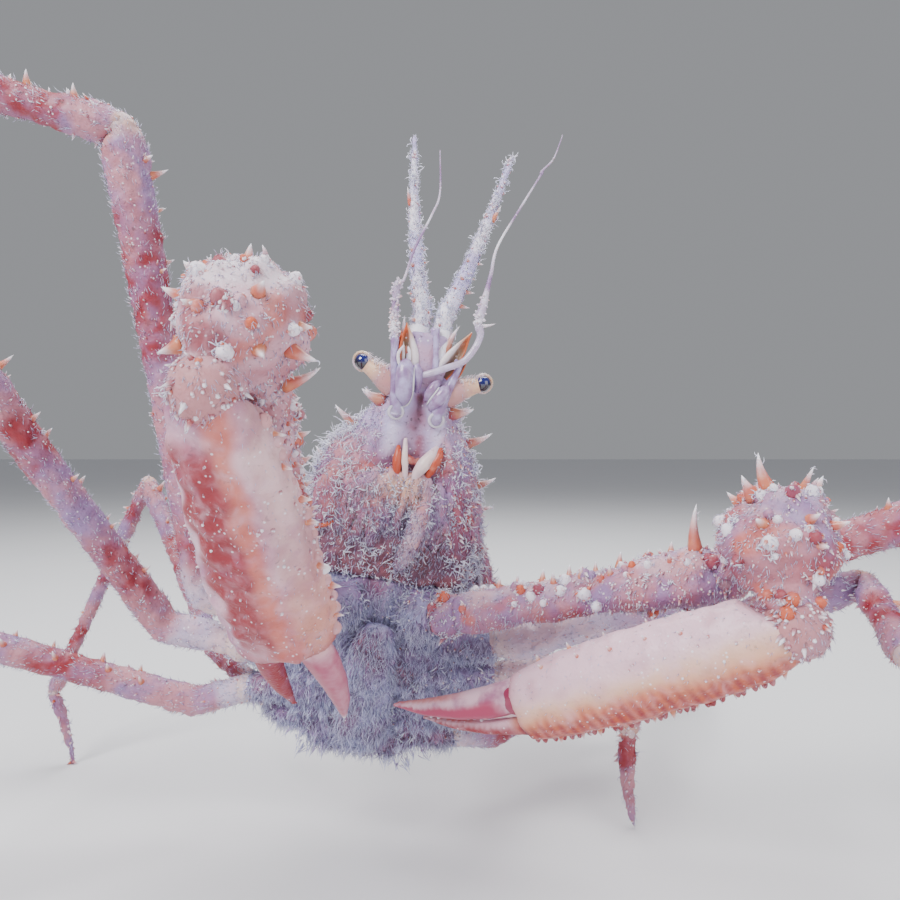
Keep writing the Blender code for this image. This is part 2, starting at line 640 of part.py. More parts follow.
def make_horn(part, body, side):
    base = on_side(HORN_BASE - Vector((0.0, 0.0, 2.0 * HORN_BASE.z + GAP)), side)
    fork = on_side(HORN_FORK, side)
    tip = on_side(HORN_TIP, side)
    up = Vector((0.0, 0.0, 1.0))
    points = [base, base + up * HORN_STEM, base.lerp(fork, 0.5), fork, tip]
    horn = shape("horn_" + side, part, tube, points, HORN_RADII, Vector((1, 0, 0)), first=up)
    extra = new_collection("horn_additions")
    shape("prong", extra, spine, fork - PRONG_SINK, on_side(HORN_PRONG, side), PRONG_RADIUS)
    grow_rows(extra, base, fork, Vector((1, 0, 0)), horn_skin, HORN_TUFTS, horn.name)
    join_with(horn, extra)
    finish(horn, IVORY, 0.6, body)


def make_eye(part, body, side):
    way = stalk_heading(side)
    eye = on_side(EYE, side)
    start = on_side(ORBIT, side) + way * GAP
    neck = eye + way * CORNEA_START
    stalk = shape("eyestalk_" + side, part, tube,
                  [start, start.lerp(neck, 0.5), neck], (STALK_RADIUS, *STALK_NECK),
                  Vector((0, 1, 0)), first=way, last=way)
    finish(stalk, IVORY, 0.5, body)
    offsets = (CORNEA_START + GAP, *CORNEA_RINGS)
    points = [eye + way * offset for offset in offsets]
    radii = [math.sqrt(CORNEA_RADIUS ** 2 - offset ** 2) for offset in offsets]
    cornea = shape("cornea_" + side, part, tube, points, radii, Vector((0, 1, 0)), sides=12)
    finish(cornea, EYE_BLUE, 0.1, body)


def make_feelers(part, body, side):
    joint = on_side(FEELER_JOINT, side)
    way = (joint - on_side(GREEN_GLAND, side)).normalized()
    route = [joint + way * GAP] + [Vector(point[:2] + (-point[2],)) for point in FEELERS[side]]
    radii = FEELER_THICKNESS[:len(route) - 1] + FEELER_THICKNESS[-1:]
    feeler = shape("antenna_" + side, part, tube, route, radii, Vector((0.3, 1, 0)), first=way,
                   sides=6)
    finish(feeler, IVORY, 0.5, body)
    base = on_side(FEELERLET_BASE, side)
    way = (base - on_side(FEELERLET_BASE + FEELERLET_SINK, side)).normalized()
    route = [base + way * GAP] + [Vector(point[:2] + (-point[2],)) for point in FEELERLETS[side]]
    feelerlet = shape("antennule_" + side, part, tube, route, FEELERLET_RADII,
                      Vector((1, 0, 0)), first=way, sides=6)
    finish(feelerlet, IVORY, 0.5, body)


def make_mouthpart(part, body, side):
    middle = MOUTHPART_MIDDLE * SIDES[side]
    piece = shape("maxilliped_" + side, part, slab, MOUTHPART,
                  lambda back: mouth_depth(back) - GAP,
                  lambda back: mouth_depth(back) - GAP - MOUTHPART_THICKNESS,
                  middle=middle, edge=0.8)
    finish(piece, MOUTH_BROWN, 0.6, body)


# Limbs

def solve_leg(side, pair):
    """The joints of a walking leg, from its hip to its tip, in standing space."""
    sizes = LEG_SIZES[pair]
    pose = LEG_POSES[(side, pair)]
    azimuth, elevation, reach = pose["ischium"]
    root = on_body(Vector(sizes["root"]), side)
    way = heading(azimuth, elevation)
    hip = root + way * HIP_STUB
    ischium = root + way * reach
    knee = ischium + heading(*pose["merus"]) * sizes["merus"]
    wrist = knee + heading(*pose["carpus"]) * sizes["carpus"]
    azimuth, elevation = pose["propodus"]
    toe = heading(*pose["dactyl"]) * sizes["dactyl"]
    if elevation is None:
        elevation = math.degrees(math.asin(-(wrist.z + toe.z) / sizes["propodus"]))
    ankle = wrist + heading(azimuth, elevation) * sizes["propodus"]
    return dict(hip=hip, ischium=ischium, knee=knee, wrist=wrist, ankle=ankle, tip=ankle + toe,
                grounded=pose["propodus"][1] is None)


def limb_piece(mesh, start, end, first, last, radius, joint_radii, hint, growth=0.0,
               sides=LIMB_SIDES):
    """One joint of a limb between two joint faces, a little waisted at each end."""
    run = end - start
    length = run.length
    way = run.normalized()
    begin = start + first * (GAP / 2.0)
    finish_at = end - last * (GAP / 2.0)

    def shoulder(face):
        bend = way.angle(face)
        return min(radius * max(TURN_CLEAR[0], TURN_CLEAR[1] * math.tan(bend)), length * 0.42)

    stations = [shoulder(first), length * 0.5, length - shoulder(last)]
    if stations[2] - stations[0] > LONG_JOINT:
        stations = sorted([*stations, length * 0.22, length * 0.8])
    sections = [section(begin, first, hint, joint_radii[0], joint_radii[0])]
    for station in stations:
        share = station / length
        swell = radius * (0.9 + 0.12 * math.cos(math.pi * 2.0 * share))
        swell *= 1.0 + growth * (share - 0.5)
        sections.append(section(start + way * station, way, hint, swell, swell))
    sections.append(section(finish_at, last, hint, joint_radii[1], joint_radii[1]))
    loft(mesh, sections, sides)


def build_merus(mesh, leg, radius, face, hint):
    """The ischium and merus of a walking leg as one bent piece."""
    way = (leg["ischium"] - leg["hip"]).normalized()
    along = (leg["knee"] - leg["ischium"]).normalized()
    length = (leg["knee"] - leg["ischium"]).length
    bend = (way + along).normalized()
    clear = radius * min(max(0.7, 1.2 * math.tan(way.angle(along) / 2.0)), 1.5)
    reach = (leg["ischium"] - leg["hip"]).length
    turn = max(TURN_CLEAR[0], TURN_CLEAR[1] * math.tan(along.angle(face)))
    sections = [section(leg["hip"] + way * GAP, way, hint, radius * 0.84, radius * 0.84)]
    if reach - clear > 2.0:
        sections.append(section(leg["hip"] + way * (reach - clear), way, hint, radius * 0.95,
                                radius * 0.95))
    sections.append(section(leg["ischium"], bend, hint, radius * 0.98, radius * 0.98))
    shares = [clear, length * 0.2, length * 0.45, length * 0.75, length - radius * turn]
    swells = [0.96, 0.92, 0.88, 0.95, 1.08]
    for station, swell in zip(shares, swells):
        sections.append(section(leg["ischium"] + along * station, along, hint, radius * swell,
                                radius * swell))
    sections.append(section(leg["knee"] - face * (GAP / 2.0), face, hint, radius * 0.8,
                            radius * 0.8))
    loft(mesh, sections)


def build_toe(mesh, start, tip, first, radius, hint, grounded):
    """The pointed last joint of a leg, ending in a small flat where it stands on the floor."""
    run = tip - start
    way = run.normalized()
    down = Vector((0.0, 0.0, -1.0))
    last = down if grounded else way
    bow = hint.cross(way).normalized() * TOE_BOW
    points = [(start + first * (GAP / 2.0), first, radius * 0.72)]
    for share, size in ((0.22, 0.8), (0.5, 0.62), (0.8, 0.4)):
        points.append((start + run * share + bow * 4.0 * share * (1.0 - share), way, radius * size))
    points.append((tip, last, FOOT_RADIUS))
    loft(mesh, [section(place, normal, hint, size, size) for place, normal, size in points])


def dress_limb(item, start, end, hint, skin, rows, spur=None):
    """Joins rows of spines, and a long one if given, to one joint of a limb."""
    extra = new_collection("limb_spines")
    grow_rows(extra, start, end, hint, skin, rows, item.name)
    if spur:
        shape("spur", extra, spine, *spur)
    join_with(item, extra)


def make_leg(part, root, side, pair):
    leg = solve_leg(side, pair)
    radius = LEG_SIZES[pair]["radius"]
    joints = [leg["ischium"], leg["knee"], leg["wrist"], leg["ankle"], leg["tip"]]
    ways = [(far - near).normalized() for near, far in zip(joints, joints[1:])]
    hint = ways[0].cross(ways[1]).normalized()
    knee_face = (ways[0] + ways[1]).normalized()
    wrist_face = (ways[1] + ways[2]).normalized()
    ankle_face = (ways[2] + ways[3]).normalized()
    label = "leg_" + pair + "_" + side + "_"
    merus = shape(label + "merus", part, build_merus, leg, radius, knee_face, hint)
    carpus = shape(label + "carpus", part, limb_piece, leg["knee"], leg["wrist"], knee_face,
                   wrist_face, radius * 0.95, (radius * 0.78, radius * 0.7), hint)
    propodus = shape(label + "propodus", part, limb_piece, leg["wrist"], leg["ankle"], wrist_face,
                     ankle_face, radius * 0.82, (radius * 0.68, radius * 0.6), hint)
    dactyl = shape(label + "dactyl", part, build_toe, leg["ankle"], leg["tip"], ankle_face,
                   radius * 0.8, hint, leg["grounded"])
    for item, index, size in ((merus, 0, 0.95), (carpus, 1, 0.92), (propodus, 2, 0.76)):
        kind = item.name.rsplit("_", 1)[1]
        dress_limb(item, joints[index], joints[index + 1], hint,
                   lambda share, reach=radius * size: (reach, reach), LEG_ROWS[kind])
        finish(item, LILAC, 0.6, root)
    finish(dactyl, ROSE, 0.5, root)


def build_knob(mesh, arm):
    """The swollen wrist lump of a claw leg."""
    meridians, parallels = KNOB_RINGS
    bmesh.ops.create_uvsphere(mesh, u_segments=meridians, v_segments=parallels,
                              radius=KNOB_RADIUS, matrix=Matrix.Translation(arm["knob"]))


def palm_face(arm):
    """The face between the wrist lump and the palm."""
    out = (arm["wrist"] - arm["knob"]).normalized()
    along = (arm["knuckle"] - arm["wrist"]).normalized()
    return (out * 1.3 + along).normalized()


def build_palm(mesh, arm, side, along, across):
    face = palm_face(arm)
    length = (arm["knuckle"] - arm["wrist"]).length
    sections = []
    for share, high, thick in PALM_HALF_SIZES[side]:
        normal = face if share == 0.0 else along
        centre = arm["wrist"] + along * length * share
        if share == 0.0:
            centre = centre + face * (GAP / 2.0)
        sections.append(section(centre, normal, across, high, thick))
    loft(mesh, sections, PALM_SIDES)


def curved_finger(mesh, start, tip, radii, hint, bow, first):
    points = []
    for index in range(len(radii)):
        share = index / (len(radii) - 1)
        points.append(start.lerp(tip, share) + bow * 4.0 * share * (1.0 - share))
    sizes = [(radius, radius * 0.86) for radius in radii]
    tube(mesh, points, sizes, hint, first=first)


def claw_arm_skin(share):
    radius = CLAW_ARM_RADIUS * 0.92 * (1.0 + CLAW_ARM_GROWTH * (share - 0.5))
    return radius, radius


def make_knob(part, label, arm, side, elbow_face, hint):
    """The wrist lump with its two joint stubs and its spines."""
    knob = shape(label + "carpus", part, build_knob, arm)
    extra = new_collection("knob_additions")
    shape("elbow_stub", extra, tube,
          [arm["elbow"] + elbow_face * (GAP / 2.0), arm["knob"]],
          (CLAW_ARM_RADIUS * 0.86, CLAW_ARM_RADIUS), hint, first=elbow_face)
    face = palm_face(arm)
    fold = (arm["wrist"] - arm["knob"]).cross(arm["knuckle"] - arm["wrist"])
    shape("wrist_stub", extra, tube, [arm["knob"], arm["wrist"] - face * (GAP / 2.0)],
          PALM_HALF_SIZES[side][0][1:], fold, last=face)
    for offset, radius in KNOB_SPINES[side]:
        run = Vector(offset)
        root = arm["knob"] + run.normalized() * (KNOB_RADIUS - radius)
        shape("knob_spine", extra, spine, root, arm["knob"] + run, radius)
    join_with(knob, extra)
    return knob


def make_palm(part, label, arm, side):
    """The palm with its fixed finger and its rows of bumps."""
    along = (arm["knuckle"] - arm["wrist"]).normalized()
    across = (arm["up"] - along * arm["up"].dot(along)).normalized()
    palm = shape(label + "palm", part, build_palm, arm, side, along, across)
    extra = new_collection("palm_additions")
    thumb_base = arm["knuckle"] - across * THUMB_OFFSET[side]
    shape("thumb", extra, curved_finger, thumb_base - along * THUMB_SINK, arm["thumb_tip"],
          THUMB_RADII[side], across, across * FINGER_BOWS[side][1], along)
    grow_rows(extra, arm["wrist"], arm["knuckle"], across,
              lambda share: read_table(PALM_HALF_SIZES[side], share), PALM_ROWS[side], label)
    join_with(palm, extra)
    return palm, along, across


def make_claw(part, root, side):
    arm = CLAW_ARMS[side]
    hip = on_body(CLAW_HIP, side)
    shoulder = on_body(CLAW_SHOULDER, side)
    way = (shoulder - hip).normalized()
    upper = (arm["elbow"] - shoulder).normalized()
    bend = (way + upper).normalized()
    hint = Vector((0.3, 0.2, 1.0)) if side == "left" else Vector((1.0, 0.2, 0.1))
    label = "claw_" + side + "_"
    base = shape(label + "base", part, tube,
                 [hip + way * GAP, hip.lerp(shoulder, 0.55), shoulder - bend * (GAP / 2.0)],
                 (CLAW_HIP_RADIUS * 0.9, CLAW_HIP_RADIUS, CLAW_HIP_RADIUS * 0.86), hint,
                 first=way, last=bend)
    elbow_face = (upper + (arm["knob"] - arm["elbow"]).normalized()).normalized()
    merus = shape(label + "merus", part, limb_piece, shoulder, arm["elbow"], bend, elbow_face,
                  CLAW_ARM_RADIUS, (CLAW_HIP_RADIUS * 0.84, CLAW_ARM_RADIUS * 0.86), hint,
                  growth=CLAW_ARM_GROWTH, sides=10)
    dress_limb(merus, shoulder, arm["elbow"], hint, claw_arm_skin, CLAW_MERUS_ROWS,
               spur=ARM_SPURS[side])
    knob = make_knob(part, label, arm, side, elbow_face, hint)
    palm, along, across = make_palm(part, label, arm, side)
    finger = shape(label + "finger", part, curved_finger,
                   arm["knuckle"] + across * FINGER_OFFSET[side] + along * GAP, arm["tip"],
                   FINGER_RADII, across, across * FINGER_BOWS[side][0], along)
    for item in (base, merus, knob, palm):
        finish(item, ROSE, 0.55, root)
    finish(finger, MAGENTA, 0.4, root)


def main():
    clear_scene()
    part = new_collection("spider_crab")
    root = bpy.data.objects.new("crab", None)
    root.location = -ORIGIN * MM
    part.objects.link(root)
    body = bpy.data.objects.new("body", None)
    placed = body_matrix()
    body.parent = root
    body.location = placed.translation * MM
    body.rotation_euler = placed.to_euler()
    part.objects.link(body)
    make_shell(part, body)
    make_breast(part, body)
    make_tail(part, body)
    for side in SIDES:
        make_horn(part, body, side)
        make_eye(part, body, side)
        make_feelers(part, body, side)
        make_mouthpart(part, body, side)
        make_claw(part, root, side)
    for side, pair in LEG_POSES:
        make_leg(part, root, side, pair)
    bpy.context.view_layer.update()


main()
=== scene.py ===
"""Looks of a still, life-size model of the spiny spider crab, Naxioides robillardi.

Places are in millimetres in the crab's standing space, whose floor is at zero, or in its body's
own frame: x to the crab's left, y to its back, and the distance down along the body.
"""

import math

import bmesh
import bpy
import numpy as np
from mathutils import Matrix, Vector, noise
from mathutils.bvhtree import BVHTree

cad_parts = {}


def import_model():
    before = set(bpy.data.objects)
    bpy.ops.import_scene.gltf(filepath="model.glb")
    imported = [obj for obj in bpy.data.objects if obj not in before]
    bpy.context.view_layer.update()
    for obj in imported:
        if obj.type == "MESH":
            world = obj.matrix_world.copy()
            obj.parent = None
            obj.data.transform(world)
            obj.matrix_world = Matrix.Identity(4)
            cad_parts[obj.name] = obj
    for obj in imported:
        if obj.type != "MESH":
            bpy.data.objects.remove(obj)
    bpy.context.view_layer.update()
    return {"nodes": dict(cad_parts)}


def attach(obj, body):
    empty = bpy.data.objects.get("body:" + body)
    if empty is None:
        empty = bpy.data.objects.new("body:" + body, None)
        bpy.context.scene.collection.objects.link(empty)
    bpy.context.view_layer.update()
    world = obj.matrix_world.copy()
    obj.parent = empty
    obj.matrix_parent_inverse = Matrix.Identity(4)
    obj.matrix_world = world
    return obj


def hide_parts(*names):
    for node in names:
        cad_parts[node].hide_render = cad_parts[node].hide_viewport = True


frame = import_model()

bl_info = {
    "name": "Spiny spider crab",
    "version": (1, 0, 0),
    "blender": (4, 5, 0),
    "location": "View3D > Sidebar > Crab",
    "description": "Dresses the crab's solids with shell, spines, feelers, claws and bristles",
    "category": "Object",
}

# Spaces: the CAD's origin in standing space, and the body's place and turn there
MM = 0.001
ORIGIN = Vector((4.92, 8.35, 0.0))
BODY = (Matrix.Translation(Vector((-4.0, -6.5, 95.0))) @ Matrix.Rotation(math.radians(11.0), 4, "Y")
        @ Matrix.Rotation(math.radians(12.0), 4, "X") @ Matrix.Rotation(math.radians(4.0), 4, "Z"))
SIDES = {"left": 1.0, "right": -1.0}
PAIRS = ("p2", "p3", "p4", "p5")
JOINTS = ("merus", "carpus", "propodus", "dactyl")
# The body's turn, its ways to its back and up along it, and what turns a height along it into
# a distance down it
TURN = np.array(BODY.to_3x3())
BACKWARD, UPWARD = TURN[:, 1], TURN[:, 2]
FLIP = np.array((1.0, 1.0, -1.0))

# The camera, where the photograph was taken from
CAMERA_PLACE = Vector((0.0, -142.5, 76.0))
CAMERA_LENS = 30.0
CAMERA_SENSOR = 36.0

# How the solids' spines and locks of bristles are found: each ends in a small cap, whose longest
# edge and reach are in millimetres, with so many corners, over sides that spread no wider
MERGE = 0.001
TIP_SIZE = (0.36, 0.3)
LOCK_SIZE = (0.8, 0.78)
TIP_CORNERS = (4, 6)
TIP_SPREAD = 0.45
# How much further than the nearest point the face between two joints reaches, in millimetres
MEETING_REACH = 0.4

# How fine each skin is drawn, in millimetres or as a share of the user's grain
BELLY_GRAIN = 1.4
LEG_GRAIN = 1.45
HORN_VOXEL = 0.24
MOUTH_VOXEL = 0.3
STANDARD_BRISTLE = 1.15
# How often each skin is smoothed, and how far it then swells, in millimetres
SMOOTHING = {"shell": (4, 0.05), "belly": (8, 0.05), "leg": (7, 0.12), "arm": (10, 0.1),
             "palm": (7, 0.06), "horn": (7, 0.08), "mouth": (5, 0.12)}

# The values that each corner of a piece may carry for its material
MARKS = ("rose", "orange", "cream", "wine", "pale", "tip", "pearl")


# Spaces and arrays

def standing(points):
    """World metres to standing millimetres."""
    return points / MM + np.array(ORIGIN)


def world(points):
    """Standing millimetres to world metres."""
    return (points - np.array(ORIGIN)) * MM


def stood_up(points):
    """Points of the body's frame, with the height along the body last, in standing space."""
    return points @ TURN.T + np.array(BODY.translation)


def on_body(points):
    """Points of the body's frame, with the distance down the body last, in standing space."""
    return stood_up(np.atleast_2d(np.asarray(points, float)) * FLIP)


def in_body(points):
    """Standing points in the body's frame, with the distance down the body last."""
    return (points - np.array(BODY.translation)) @ TURN * FLIP


def lengths_of(rows):
    return np.linalg.norm(rows, axis=1)


def unit(rows):
    """Each row brought to length one."""
    return rows / np.maximum(lengths_of(rows), 1e-9)[:, None]


def step(low, high, values):
    """A smooth rise from 0 to 1 between two values."""
    share = np.clip((values - low) / (high - low), 0.0, 1.0)
    return share * share * (3.0 - 2.0 * share)


def fall(low, high, values):
    """A smooth fall from 1 to 0 between two values."""
    return 1.0 - step(low, high, values)


def band(rise, end, values):
    """A smooth rise between the first two values, and a fall between the last two."""
    return step(*rise, values) * fall(*end, values)


def peak(gap, width):
    """A soft peak where a gap is zero."""
    return np.exp(-(gap / width) ** 2)


def patches(points, size, seed):
    """Soft noise from about -1 to 1 with patches of a given size."""
    shift = Vector((seed * 3.7, seed * 1.9, seed * 5.3))
    return np.array([noise.noise(Vector(point) / size + shift) for point in points]) * 1.6


class Heap:
    """Triangles and point values gathered for one piece."""

    def __init__(self):
        self.points = []
        self.triangles = []
        self.values = {mark: [] for mark in MARKS}
        self.patches = []
        self.count = 0

    def add(self, points, triangles, uv=None, **values):
        self.points.append(points)
        self.triangles.append(triangles + self.count)
        for mark in MARKS:
            value = values.get(mark, 0.0)
            self.values[mark].append(np.broadcast_to(np.asarray(value, float), len(points)))
        if uv is not None:
            self.patches.append(uv)
        self.count += len(points)

    def gather(self):
        """All points, triangles and values, each as one array."""
        values = {mark: np.concatenate(rows) for mark, rows in self.values.items()}
        return np.concatenate(self.points), np.concatenate(self.triangles), values

    def piece(self, name):
        """One object at the origin, with its place in its mesh."""
        points, triangles, values = self.gather()
        points[:, 2] = np.maximum(points[:, 2], 0.0)
        data = bpy.data.meshes.new(name)
        data.vertices.add(len(points))
        data.vertices.foreach_set("co", world(points).astype(np.float32).ravel())
        data.loops.add(len(triangles) * 3)
        data.loops.foreach_set("vertex_index", triangles.astype(np.int32).ravel())
        data.polygons.add(len(triangles))
        data.polygons.foreach_set("loop_start", np.arange(0, len(triangles) * 3, 3, dtype=np.int32))
        data.update(calc_edges=True)
        data.polygons.foreach_set("use_smooth", np.ones(len(triangles), bool))
        for mark, rows in values.items():
            if rows.any():
                layer = data.attributes.new(mark, "FLOAT", "POINT")
                layer.data.foreach_set("value", rows.astype(np.float32))
        if self.patches:
            layer = data.uv_layers.new(name="OFBake")
            uv = np.concatenate(self.patches)[triangles.ravel()]
            layer.data.foreach_set("uv", uv.astype(np.float32).ravel())
        data.validate()
        item = bpy.data.objects.new(name, data)
        bpy.context.scene.collection.objects.link(item)
        return item


def arrays(mesh):
    """A bmesh's points, triangles and share along, then frees it; cut faces are put in order."""
    cut = any(len(face.verts) > 3 for face in mesh.faces)
    bmesh.ops.triangulate(mesh, faces=mesh.faces)
    mesh.verts.index_update()
    layer = mesh.verts.layers.float.get("along")
    points = np.array([vert.co for vert in mesh.verts])
    along = np.array([vert[layer] for vert in mesh.verts]) if layer else np.zeros(len(points))
    triangles = np.array([[vert.index for vert in face.verts] for face in mesh.faces])
    mesh.free()
    if cut:
        lowest = np.argmin(triangles, axis=1)[:, None]
        triangles = np.take_along_axis(triangles, (lowest + np.arange(3)) % 3, axis=1)
        triangles = triangles[np.lexsort(triangles.T)]
    return points, triangles, along


# Skins grown over the solids, and the slice of a limb that its girth is measured in
GIRTH_SLICE = 1.8
WIDEST_LIMB = 14.0


def merged_copy(node):
    """A merged copy of a CAD node's mesh, in standing millimetres."""
    mesh = bmesh.new()
    mesh.from_mesh(frame["nodes"][node].data)
    for vert in mesh.verts:
        vert.co = vert.co / MM + ORIGIN
    bmesh.ops.remove_doubles(mesh, verts=mesh.verts, dist=MERGE)
    return mesh


def in_order(corners):
    return sorted(corners, key=lambda vert: vert.index)


def find_tips(mesh, edge_length, reach):
    """The small end caps of a solid's spines, with where each spine springs and how wide it is."""
    mesh.verts.index_update()
    seen = set()
    tips = []
    for vert in mesh.verts:
        if vert in seen:
            continue
        group = {vert}
        front = [vert]
        while front:
            for edge in front.pop().link_edges:
                if edge.calc_length() < edge_length:
                    for other in edge.verts:
                        if other not in group:
                            group.add(other)
                            front.append(other)
        seen |= group
        if not TIP_CORNERS[0] <= len(group) <= TIP_CORNERS[1]:
            continue
        middle = sum((item.co for item in in_order(group)), Vector()) / len(group)
        if max((item.co - middle).length for item in group) > reach:
            continue
        ring = in_order({edge.other_vert(item) for item in group for edge in item.link_edges} - group)
        root = sum((item.co for item in ring), Vector()) / len(ring)
        way = (root - middle).normalized()
        if min((item.co - middle).normalized().dot(way) for item in ring) < TIP_SPREAD:
            continue
        width = sum(((item.co - root) - way * (item.co - root).dot(way)).length for item in ring)
        tips.append((group, middle, root, width / len(ring)))
    return tips


def bare_copy(node, locks=False):
    """A node's copy without its spines, and the list of those spines: root, tip, radius."""
    mesh = merged_copy(node)
    spines = []
    for size in (TIP_SIZE, LOCK_SIZE) if locks else (TIP_SIZE,):
        for group, tip, root, width in find_tips(mesh, *size):
            for vert in group:
                vert.co = root
            if size == TIP_SIZE:
                spines.append((np.array(root), np.array(tip), width))
        bmesh.ops.remove_doubles(mesh, verts=mesh.verts, dist=MERGE)
    return mesh, spines


def smooth_skin(mesh, voxel, kind):
    """An even, rounded skin over a bare copy, as points, triangles and normals."""
    rounds, swell = SMOOTHING[kind]
    data = bpy.data.meshes.new("skin")
    mesh.to_mesh(data)
    mesh.free()
    item = bpy.data.objects.new("skin", data)
    bpy.context.scene.collection.objects.link(item)
    remesh = item.modifiers.new("Remesh", "REMESH")
    remesh.mode = "VOXEL"
    remesh.voxel_size = voxel
    smooth = item.modifiers.new("Smooth", "SMOOTH")
    smooth.factor = 0.5
    smooth.iterations = rounds
    bpy.context.view_layer.update()
    result = item.evaluated_get(bpy.context.evaluated_depsgraph_get()).to_mesh()
    result.calc_loop_triangles()
    points = np.zeros(len(result.vertices) * 3, np.float32)
    result.vertices.foreach_get("co", points)
    normals = np.zeros(len(result.vertices) * 3, np.float32)
    result.vertices.foreach_get("normal", normals)
    triangles = np.zeros(len(result.loop_triangles) * 3, np.int32)
    result.loop_triangles.foreach_get("vertices", triangles)
    bpy.data.objects.remove(item)
    bpy.data.meshes.remove(data)
    normals = normals.reshape(-1, 3).astype(float)
    return points.reshape(-1, 3).astype(float) + normals * swell, triangles.reshape(-1, 3), normals


def girth(points, place, way):
    """How far a limb's skin stands off the middle of its joint, in millimetres."""
    gap = points - place
    along = gap @ way
    around = lengths_of(gap - along[:, None] * way)
    near = (np.abs(along) < GIRTH_SLICE) & (around < WIDEST_LIMB)
    return np.percentile(around[near], 80)


def meeting(near, far):
    """The middle of the face that one node turns to another, in standing space."""
    places = [standing(np.array([vert.co for vert in frame["nodes"][node].data.vertices]))
              for node in (near, far)]
    faces = [tuple(face.vertices) for face in frame["nodes"][near].data.polygons]
    tree = BVHTree.FromPolygons([Vector(place) for place in places[0]], faces)
    gaps = np.array([tree.find_nearest(Vector(place))[3] for place in places[1]])
    close = places[1][gaps < gaps.min() + MEETING_REACH]
    return np.unique(np.round(close, 2), axis=0).mean(axis=0)


# Bars drawn out along curves, and small shapes repeated in numbers

def smooth_row(rows, steps):
    """Stations on a smooth curve through the given rows, with a few steps between each two."""
    rows = np.asarray(rows, float)
    padded = np.vstack([2 * rows[0] - rows[1], rows, 2 * rows[-1] - rows[-2]])
    stations = []
    for index in range(len(rows) - 1):
        a, b, c, d = padded[index:index + 4]
        for share in np.arange(steps) / steps:
            stations.append(0.5 * (2 * b + (c - a) * share + (2 * a - 5 * b + 4 * c - d) * share ** 2
                                   + (3 * b - a - 3 * c + d) * share ** 3))
    stations.append(rows[-1])
    return np.array(stations)


def bar(rows, hint=(0.0, 0.0, 1.0), sides=12, steps=5, pointed=False):
    """A bar through rows of x, y, z, half width and half thickness; the hint gives its width's way."""
    stations = smooth_row([row if len(row) == 5 else (*row, row[3]) for row in rows], steps)
    mesh = bmesh.new()
    layer = mesh.verts.layers.float.new("along")
    ring = bmesh.ops.create_circle(mesh, cap_ends=False, radius=1.0, segments=sides)["verts"]
    edges = list(mesh.edges)
    first = list(edges)
    hint = Vector(hint)
    before = Matrix.Identity(4)
    for index, (*place, wide, thick) in enumerate(stations):
        run = stations[min(index + 1, len(stations) - 1)] - stations[max(index - 1, 0)]
        way = Vector(run[:3]).normalized()
        across = (hint - way * hint.dot(way)).normalized()
        matrix = Matrix((across * max(wide, 0.01), way.cross(across) * max(thick, 0.01), way))
        matrix = matrix.transposed().to_4x4()
        matrix.translation = place
        if index:
            made = bmesh.ops.extrude_edge_only(mesh, edges=edges)["geom"]
            ring = [item for item in made if isinstance(item, bmesh.types.BMVert)]
            fresh = set(ring)
            edges = [item for item in made if isinstance(item, bmesh.types.BMEdge)
                     and item.verts[0] in fresh and item.verts[1] in fresh]
        bmesh.ops.transform(mesh, matrix=matrix @ before.inverted(), verts=ring)
        before = matrix
        for vert in ring:
            vert[layer] = index / (len(stations) - 1)
    bmesh.ops.contextual_create(mesh, geom=first)
    bmesh.ops.contextual_create(mesh, geom=edges)
    if pointed:
        bmesh.ops.pointmerge(mesh, verts=ring, merge_co=Vector(stations[-1][:3]))
    bmesh.ops.recalc_face_normals(mesh, faces=mesh.faces)
    return arrays(mesh)


def taper(sides, rings):
    """A unit taper to be planted in numbers: rings of height and width, then a point at one."""
    rows = [(0.0, 0.0, height, width) for height, width in rings] + [(0.0, 0.0, 1.0, 0.02)]
    return bar(rows, hint=(1.0, 0.0, 0.0), sides=sides, steps=1, pointed=True)


def plant(heap, template, roots, ways, lengths, radii, bends=None, curl=0.0, uv=None, **values):
    """Sets a taper at each root, growing its own way and turning by an angle towards its own side."""
    shape, triangles, along = template
    roots = np.atleast_2d(roots)
    count = len(roots)
    ways = unit(np.atleast_2d(ways))
    lengths = np.broadcast_to(np.asarray(lengths, float), count)[:, None, None]
    radii = np.broadcast_to(np.asarray(radii, float), count)[:, None, None]
    curl = np.broadcast_to(np.asarray(curl, float), count)[:, None, None]
    curl = np.where(np.abs(curl) < 0.001, 0.001, curl)
    spare = np.where(np.abs(ways[:, 2:]) < 0.8, np.array((0.0, 0.0, 1.0)), np.array((1.0, 0.0, 0.0)))
    bends = spare if bends is None else np.atleast_2d(bends)
    first = bends - ways * np.sum(bends * ways, axis=1, keepdims=True)
    first = np.where(np.linalg.norm(first, axis=1, keepdims=True) < 1e-4, spare, first)
    first = unit(first - ways * np.sum(first * ways, axis=1, keepdims=True))
    second = np.cross(ways, first)
    turn = curl * shape[:, 2][None, :, None]
    wide = shape[:, 0][None, :, None] * radii
    ahead = np.sin(turn) * (lengths / curl - wide)
    aside = (1.0 - np.cos(turn)) * lengths / curl + np.cos(turn) * wide
    points = roots[:, None, :] + ways[:, None, :] * ahead + first[:, None, :] * aside
    points = points + second[:, None, :] * shape[:, 1][None, :, None] * radii
    offsets = (np.arange(count) * len(shape))[:, None, None]
    spread = {mark: np.repeat(np.broadcast_to(np.asarray(value, float), count), len(shape))
              for mark, value in values.items()}
    spread["tip"] = np.tile(along, count)
    if uv is not None:
        patch = np.stack([shape[:, 0] * 0.001, (along - 0.5) * 0.003], axis=1)
        uv = (uv[:, None, :] + patch[None, :, :]).reshape(-1, 2)
    heap.add(points.reshape(-1, 3), (triangles[None] + offsets).reshape(-1, 3), uv=uv, **spread)


